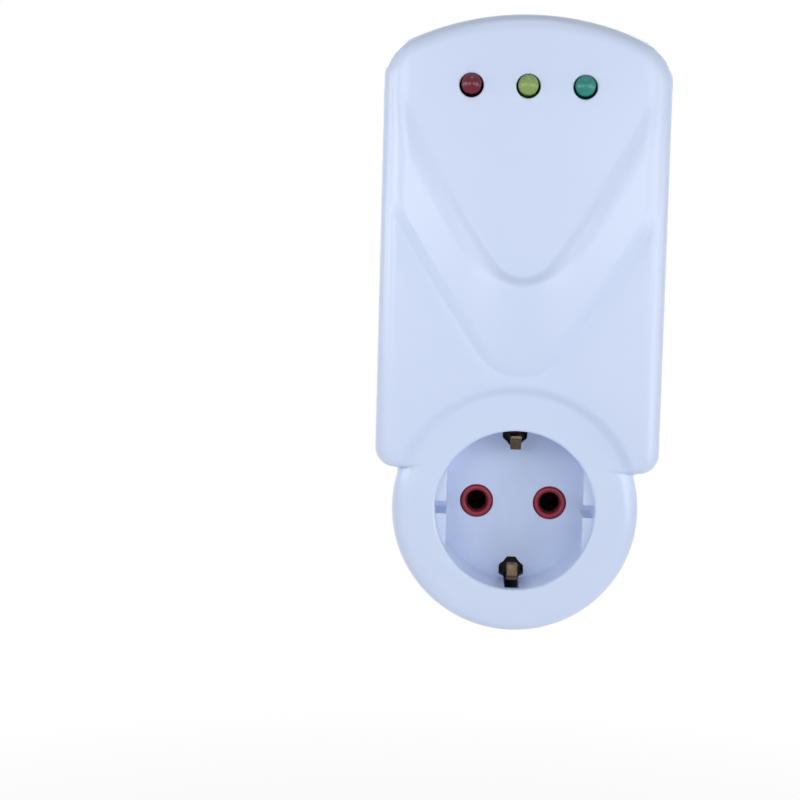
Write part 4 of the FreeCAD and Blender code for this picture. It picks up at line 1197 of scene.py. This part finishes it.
@dataclass(frozen=True)
class EarthClips:
    """Bent bronze springs at the top and the bottom of the recess."""

    width: float = 2.7
    thickness: float = 0.6
    root: Place = (-34.6, 19.6)
    nose: Place = (-46.4, 14.7)
    tip: Place = (-49.6, 17.9)
    bend: float = 1.0
    ease: float = 0.16

    def build(self, shop: Workshop) -> None:
        """Makes both clips, each on its own sprung body.

        Args:
            shop: makes the pieces.
        """
        fold = self.thickness
        path = eased_corners([
            (self.root[0] - fold / 3, self.root[1]), (self.nose[0] + fold, self.nose[1] + fold / 4),
            (self.nose[0] - fold / 2, self.nose[1] + fold / 4), (self.tip[0] + fold, self.tip[1] - fold / 4),
            (self.tip[0] - fold, self.tip[1] + fold / 4)], self.bend, 7)
        for sign, word in UP_AND_DOWN:
            node = word + "_earth_clip"
            skin = strip_solid(path * (1, sign), self.thickness, self.width, self.ease)
            shop.piece(skin, word + "_clip_spring", node, DULL_BRONZE, Body(node))


@dataclass(frozen=True)
class Lamps:
    """Three signal lamps: tinted lenses with a domed tip and a foot flange."""

    rise: float = 0.3
    radius: float = 2.5
    dome: float = 2.0
    tip: float = -60.9
    base: float = -52.3
    flange: float = 3.3

    def build(self, shop: Workshop) -> None:
        """Makes the lenses: a dome of elliptic section, a straight side and a stepped foot, turned.

        Args:
            shop: makes the pieces.
        """
        inner, base = self.flange - 0.1, self.base
        foot = [(self.radius, base - 1.2), (inner, base - 1.0), (self.flange, base - 0.9),
                (self.flange, base - 0.1), (inner, base), (0, base)]
        dome = rounding(14) * (-self.radius, self.dome) + (self.radius, self.tip)
        lenses = ((-1, "red", RED_EPOXY), (0, "yellow", YELLOW_EPOXY), (1, "green", GREEN_EPOXY))
        for column, word, finish in lenses:
            skin = Skin()
            skin.turn(np.concatenate([dome, foot]), ROUND, (column * LAMP_PITCH, LAMP_Z + self.rise))
            shop.piece(skin, word + "_lens", word + "_lamp", finish)


@dataclass(frozen=True)
class PlugMetal:
    """Pins, insert, earth strips and screws that show on the back."""

    pin: float = 2.4
    root: float = 3.0
    collar: float = 3.8
    collar_depth: float = 1.2
    start: float = -10.0
    length: float = 19.0
    tip_run: float = 1.3
    pin_ease: float = 0.5
    insert: float = 14.7
    insert_depth: float = 6.0
    insert_edge: float = 0.25
    strip_z: float = 17.2
    strip_width: float = 4.0
    strip_thickness: float = 0.8
    strip_start: float = -1.2
    strip_end: Place = (-21.4, 8.0)
    strip_bend: float = 0.9
    strip_ease: float = 0.2
    head: float = 2.8
    head_y: float = -25.0
    head_edge: float = 0.55
    head_rise: float = 0.9
    head_depth: float = 2.0
    thread: float = 1.45
    screw_end: float = -42.0

    def pins(self, shop: Workshop) -> None:
        """Makes both pins: a collar, a thicker root, a straight shank and a rounded tip, turned.

        Args:
            shop: makes the pieces.
        """
        under, collar = -self.insert_depth, -self.insert_depth - self.collar_depth
        profile = eased_corners([
            (0, self.start), (self.pin, self.start), (self.pin, collar), (self.collar, collar),
            (self.collar, under), (self.root, under), (self.root, 0), (self.pin, 0),
            (self.pin, self.length - self.tip_run), (self.pin / 2, self.length), (0, self.length)],
            self.pin_ease, 5)
        for side, node in ((-1, "live_pin"), (1, "neutral_pin")):
            skin = Skin()
            skin.turn(profile, ROUND, (side * PIN_X, 0))
            shop.piece(skin, node + "_shank", node, NICKEL)

    def plug_insert(self, shop: Workshop) -> None:
        """Makes the insert: a flat disc with an eased rim and two pin holes.

        Args:
            shop: makes the piece.
        """
        skin = Skin()
        deep, rim = -self.insert_depth, self.insert_edge
        holes = [circle(self.root + 0.05, SMALL_ROUND, (side * PIN_X, 0)) for side in (-1, 1)]
        loops = [(circle(self.insert - inward, WIDE_ROUND), depth)
                 for inward, depth in ((rim, 0.0), (0.07, -0.07), (0, -rim), (0, deep))]
        skin.layers(loops)
        for loop, depth in (loops[0], loops[-1]):
            skin.fill([loop] + holes, depth)
        for hole in holes:
            skin.layers([(hole, 0.0), (hole, deep)])
        shop.piece(skin, "plug_insert_disc", "plug_insert", WHITE_NYLON)

    def earth_strips(self, shop: Workshop) -> None:
        """Makes the two earth strips along the plug, bent inwards at the back wall.

        Args:
            shop: makes the pieces.
        """
        z, end = self.strip_z, self.strip_end
        path = eased_corners([(self.strip_start, z), (-10, z), (end[0], z), end], self.strip_bend, 6)
        for sign, word in UP_AND_DOWN:
            skin = strip_solid(path * (1, sign), self.strip_thickness, self.strip_width, self.strip_ease)
            shop.piece(skin, word + "_earth_strip", word + "_plug_earth_strip", NICKEL)

    def screws(self, shop: Workshop) -> None:
        """Makes the four housing screws: a pan head with a cross recess on a long shank.

        Args:
            shop: makes the piece.
        """
        half, reach, depth = 0.42, 1.9, 1.1
        arm = np.array([(reach, -half), (reach, half), (half, half)])
        turns = [arm, arm[:, ::-1] * (-1, 1), -arm, arm[:, ::-1] * (1, -1)]
        cross = eased_corners(np.concatenate(turns), 0.12, 3, True)
        face = self.head_y
        under, point = face - self.head_depth, 0.7
        foot = [(self.head, under), (self.thread, under), (self.thread, self.screw_end + point),
                (point, self.screw_end), (0, self.screw_end)]
        dome = rounding(6) * (-self.head_edge, -self.head_rise) + (self.head, face)
        skin = Skin()
        for centre in SCREWS:
            skin.fill([circle(self.head - self.head_edge, SMALL_ROUND, centre), cross + centre], face)
            skin.layers([(centre + cross * scale, y) for scale, y in (
                (1, face), (1, face - 0.5), (0.7, face - depth), (0.0, face - depth))])
            skin.turn(np.concatenate([dome, foot]), SMALL_ROUND, centre)
        shop.piece(skin, "cross_head_screws", "housing_screws", ZINC_STEEL)

    def build(self, shop: Workshop) -> None:
        """Makes all the plug's metal, its insert and the screws."""
        for part in (self.pins, self.plug_insert, self.earth_strips, self.screws):
            part(shop)


# Light, floor and camera


@dataclass(frozen=True)
class Studio:
    """Camera, soft lamps, white surroundings and a pale floor."""

    camera_mm: Triple = (-12.14, -452.93, 55.71)
    camera_degrees: Triple = (85.8765, -1.4961, 2.5992)
    lens: float = 71.9
    sensor: float = 36.0
    clip: Place = (0.01, 20.0)
    paper_colour: str = "#F7F8FB"
    paper_roughness: float = 0.9
    floor_z: float = -190.0
    floor_half: float = 6.0
    shadow_near: float = 0.2
    shadow_far: float = 0.5
    shadow_white: float = 0.6
    ambient: float = 0.02
    ambient_colour: str = "#F8F9FF"
    aim: Triple = (0, -0.03, 0.05)
    # Each lamp's name, place and side in metres, and power in watts.
    lamps: tuple[tuple[str, Triple, float, float], ...] = (
        ("right_key", (0.475, -0.449, 0.06), 0.3, 1.16),
        ("right_side", (0.614, -0.136, 0.06), 0.2, 0.4),
        ("right_near", (0.13, -0.407, 0.1), 0.14, 0.24),
        ("left_near", (-0.13, -0.407, 0.1), 0.14, 0.26),
        ("left_fill", (-0.3, -0.27, 0.1), 0.14, 0.32),
        ("left_side", (-0.374, -0.116, 0.1), 0.14, 0.24),
        ("top_fill", (0.0, -0.24, 0.43), 0.14, 0.16),
        ("back_left", (-0.4, 0.45, 0.45), 0.3, 2.6),
        ("back_right", (0.4, 0.45, 0.45), 0.3, 2.6),
    )

    def camera(self) -> None:
        """Puts the camera where the photograph was taken from."""
        data = bpy.data.cameras.new("camera")
        data.lens = self.lens
        data.sensor_width = self.sensor
        data.clip_start, data.clip_end = self.clip
        obj = bpy.data.objects.new("camera", data)
        obj.location = [c * MM for c in self.camera_mm]
        obj.rotation_euler = [math.radians(a) for a in self.camera_degrees]
        bpy.context.scene.collection.objects.link(obj)
        bpy.context.scene.camera = obj

    def light(self) -> None:
        """Adds the square soft lamps, each facing the middle of the housing."""
        for name, place, size, power in self.lamps:
            data = bpy.data.lights.new(name, "AREA")
            data.size = size
            data.energy = power
            obj = bpy.data.objects.new(name, data)
            obj.location = place
            obj.rotation_euler = (Vector(self.aim) - Vector(place)).to_track_quat("-Z", "Y").to_euler()
            bpy.context.scene.collection.objects.link(obj)

    def whitened(self, tree: bpy.types.NodeTree, plain: bpy.types.Node, white: bpy.types.Node,
                 share: bpy.types.NodeSocket | None = None) -> bpy.types.NodeSocket:
        """Mixes a shader with white for camera, glossy and transmission rays only.

        Args:
            tree: node tree.
            plain: shader for all other rays.
            white: white shader.
            share: output that says how white it is there, from 0 to 1; wholly white without it.

        Returns:
            The mixed output.
        """
        path = add_node(tree, "ShaderNodeLightPath", {}, {}).outputs
        seen = path["Is Camera Ray"]
        for ray in ("Is Glossy Ray", "Is Transmission Ray"):
            seen = add_node(tree, "ShaderNodeMath", {}, {0: seen, 1: path[ray]}, operation="MAXIMUM").outputs[0]
        if share is not None:
            seen = add_node(tree, "ShaderNodeMath", {}, {0: share, 1: seen}, operation="MULTIPLY").outputs[0]
        links = {0: seen, 1: plain.outputs[0], 2: white.outputs[0]}
        return add_node(tree, "ShaderNodeMixShader", {}, links).outputs[0]

    def surroundings(self) -> None:
        """White world where it is seen or mirrored, and an even pale light for the rest."""
        world = bpy.data.worlds.new("white_surroundings")
        bpy.context.scene.world = world
        world.use_nodes = True
        tree = world.node_tree
        tree.nodes.clear()
        lit = add_node(tree, "ShaderNodeBackground",
                       {"Color": linear(self.ambient_colour), "Strength": self.ambient}, {})
        white = add_node(tree, "ShaderNodeBackground", {"Color": (1, 1, 1, 1), "Strength": 1.0}, {})
        add_node(tree, "ShaderNodeOutputWorld", {}, {"Surface": self.whitened(tree, lit, white)})

    def floor(self) -> None:
        """White floor under the housing: it keeps the shadow near the middle and is white farther out."""
        mesh = bpy.data.meshes.new("floor")
        far, z = self.floor_half, self.floor_z * MM
        mesh.from_pydata([(-far, -far, z), (far, -far, z), (far, far, z), (-far, far, z)], [], [(0, 1, 2, 3)])
        obj = bpy.data.objects.new("floor", mesh)
        bpy.context.scene.collection.objects.link(obj)
        material = bpy.data.materials.new("matt_white_paper")
        material.use_nodes = True
        tree = material.node_tree
        paper = tree.nodes["Principled BSDF"]
        paper.inputs["Base Color"].default_value = linear(self.paper_colour)
        paper.inputs["Roughness"].default_value = self.paper_roughness
        place = add_node(tree, "ShaderNodeTexCoord", {}, {})
        away = add_node(tree, "ShaderNodeVectorMath", {}, {0: place.outputs["Object"]}, operation="LENGTH")
        share = add_node(tree, "ShaderNodeMapRange",
                         {"From Min": self.shadow_near, "From Max": self.shadow_far,
                          "To Min": self.shadow_white, "To Max": 1.0}, {"Value": away.outputs["Value"]})
        white = add_node(tree, "ShaderNodeEmission", {"Color": (1, 1, 1, 1), "Strength": 1.0}, {})
        tree.links.new(self.whitened(tree, paper, white, share.outputs["Result"]),
                       tree.nodes["Material Output"].inputs["Surface"])
        mesh.materials.append(material)

    def build(self) -> None:
        """Sets up the whole studio."""
        bpy.context.scene.view_settings.view_transform = "Standard"
        for part in (self.camera, self.surroundings, self.floor, self.light):
            part()


def main() -> None:
    """Builds the pieces in order, then the studio."""
    logging.basicConfig(level=logging.INFO, format="%(message)s")
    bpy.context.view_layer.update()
    shop = Workshop()
    for maker in (FrontCover(), RearCover(), SocketSleeves(), EarthClips(), Lamps(), PlugMetal()):
        maker.build(shop)
    shop.dress_carried()
    Studio().build()
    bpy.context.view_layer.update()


if __name__ == "__main__":
    main()
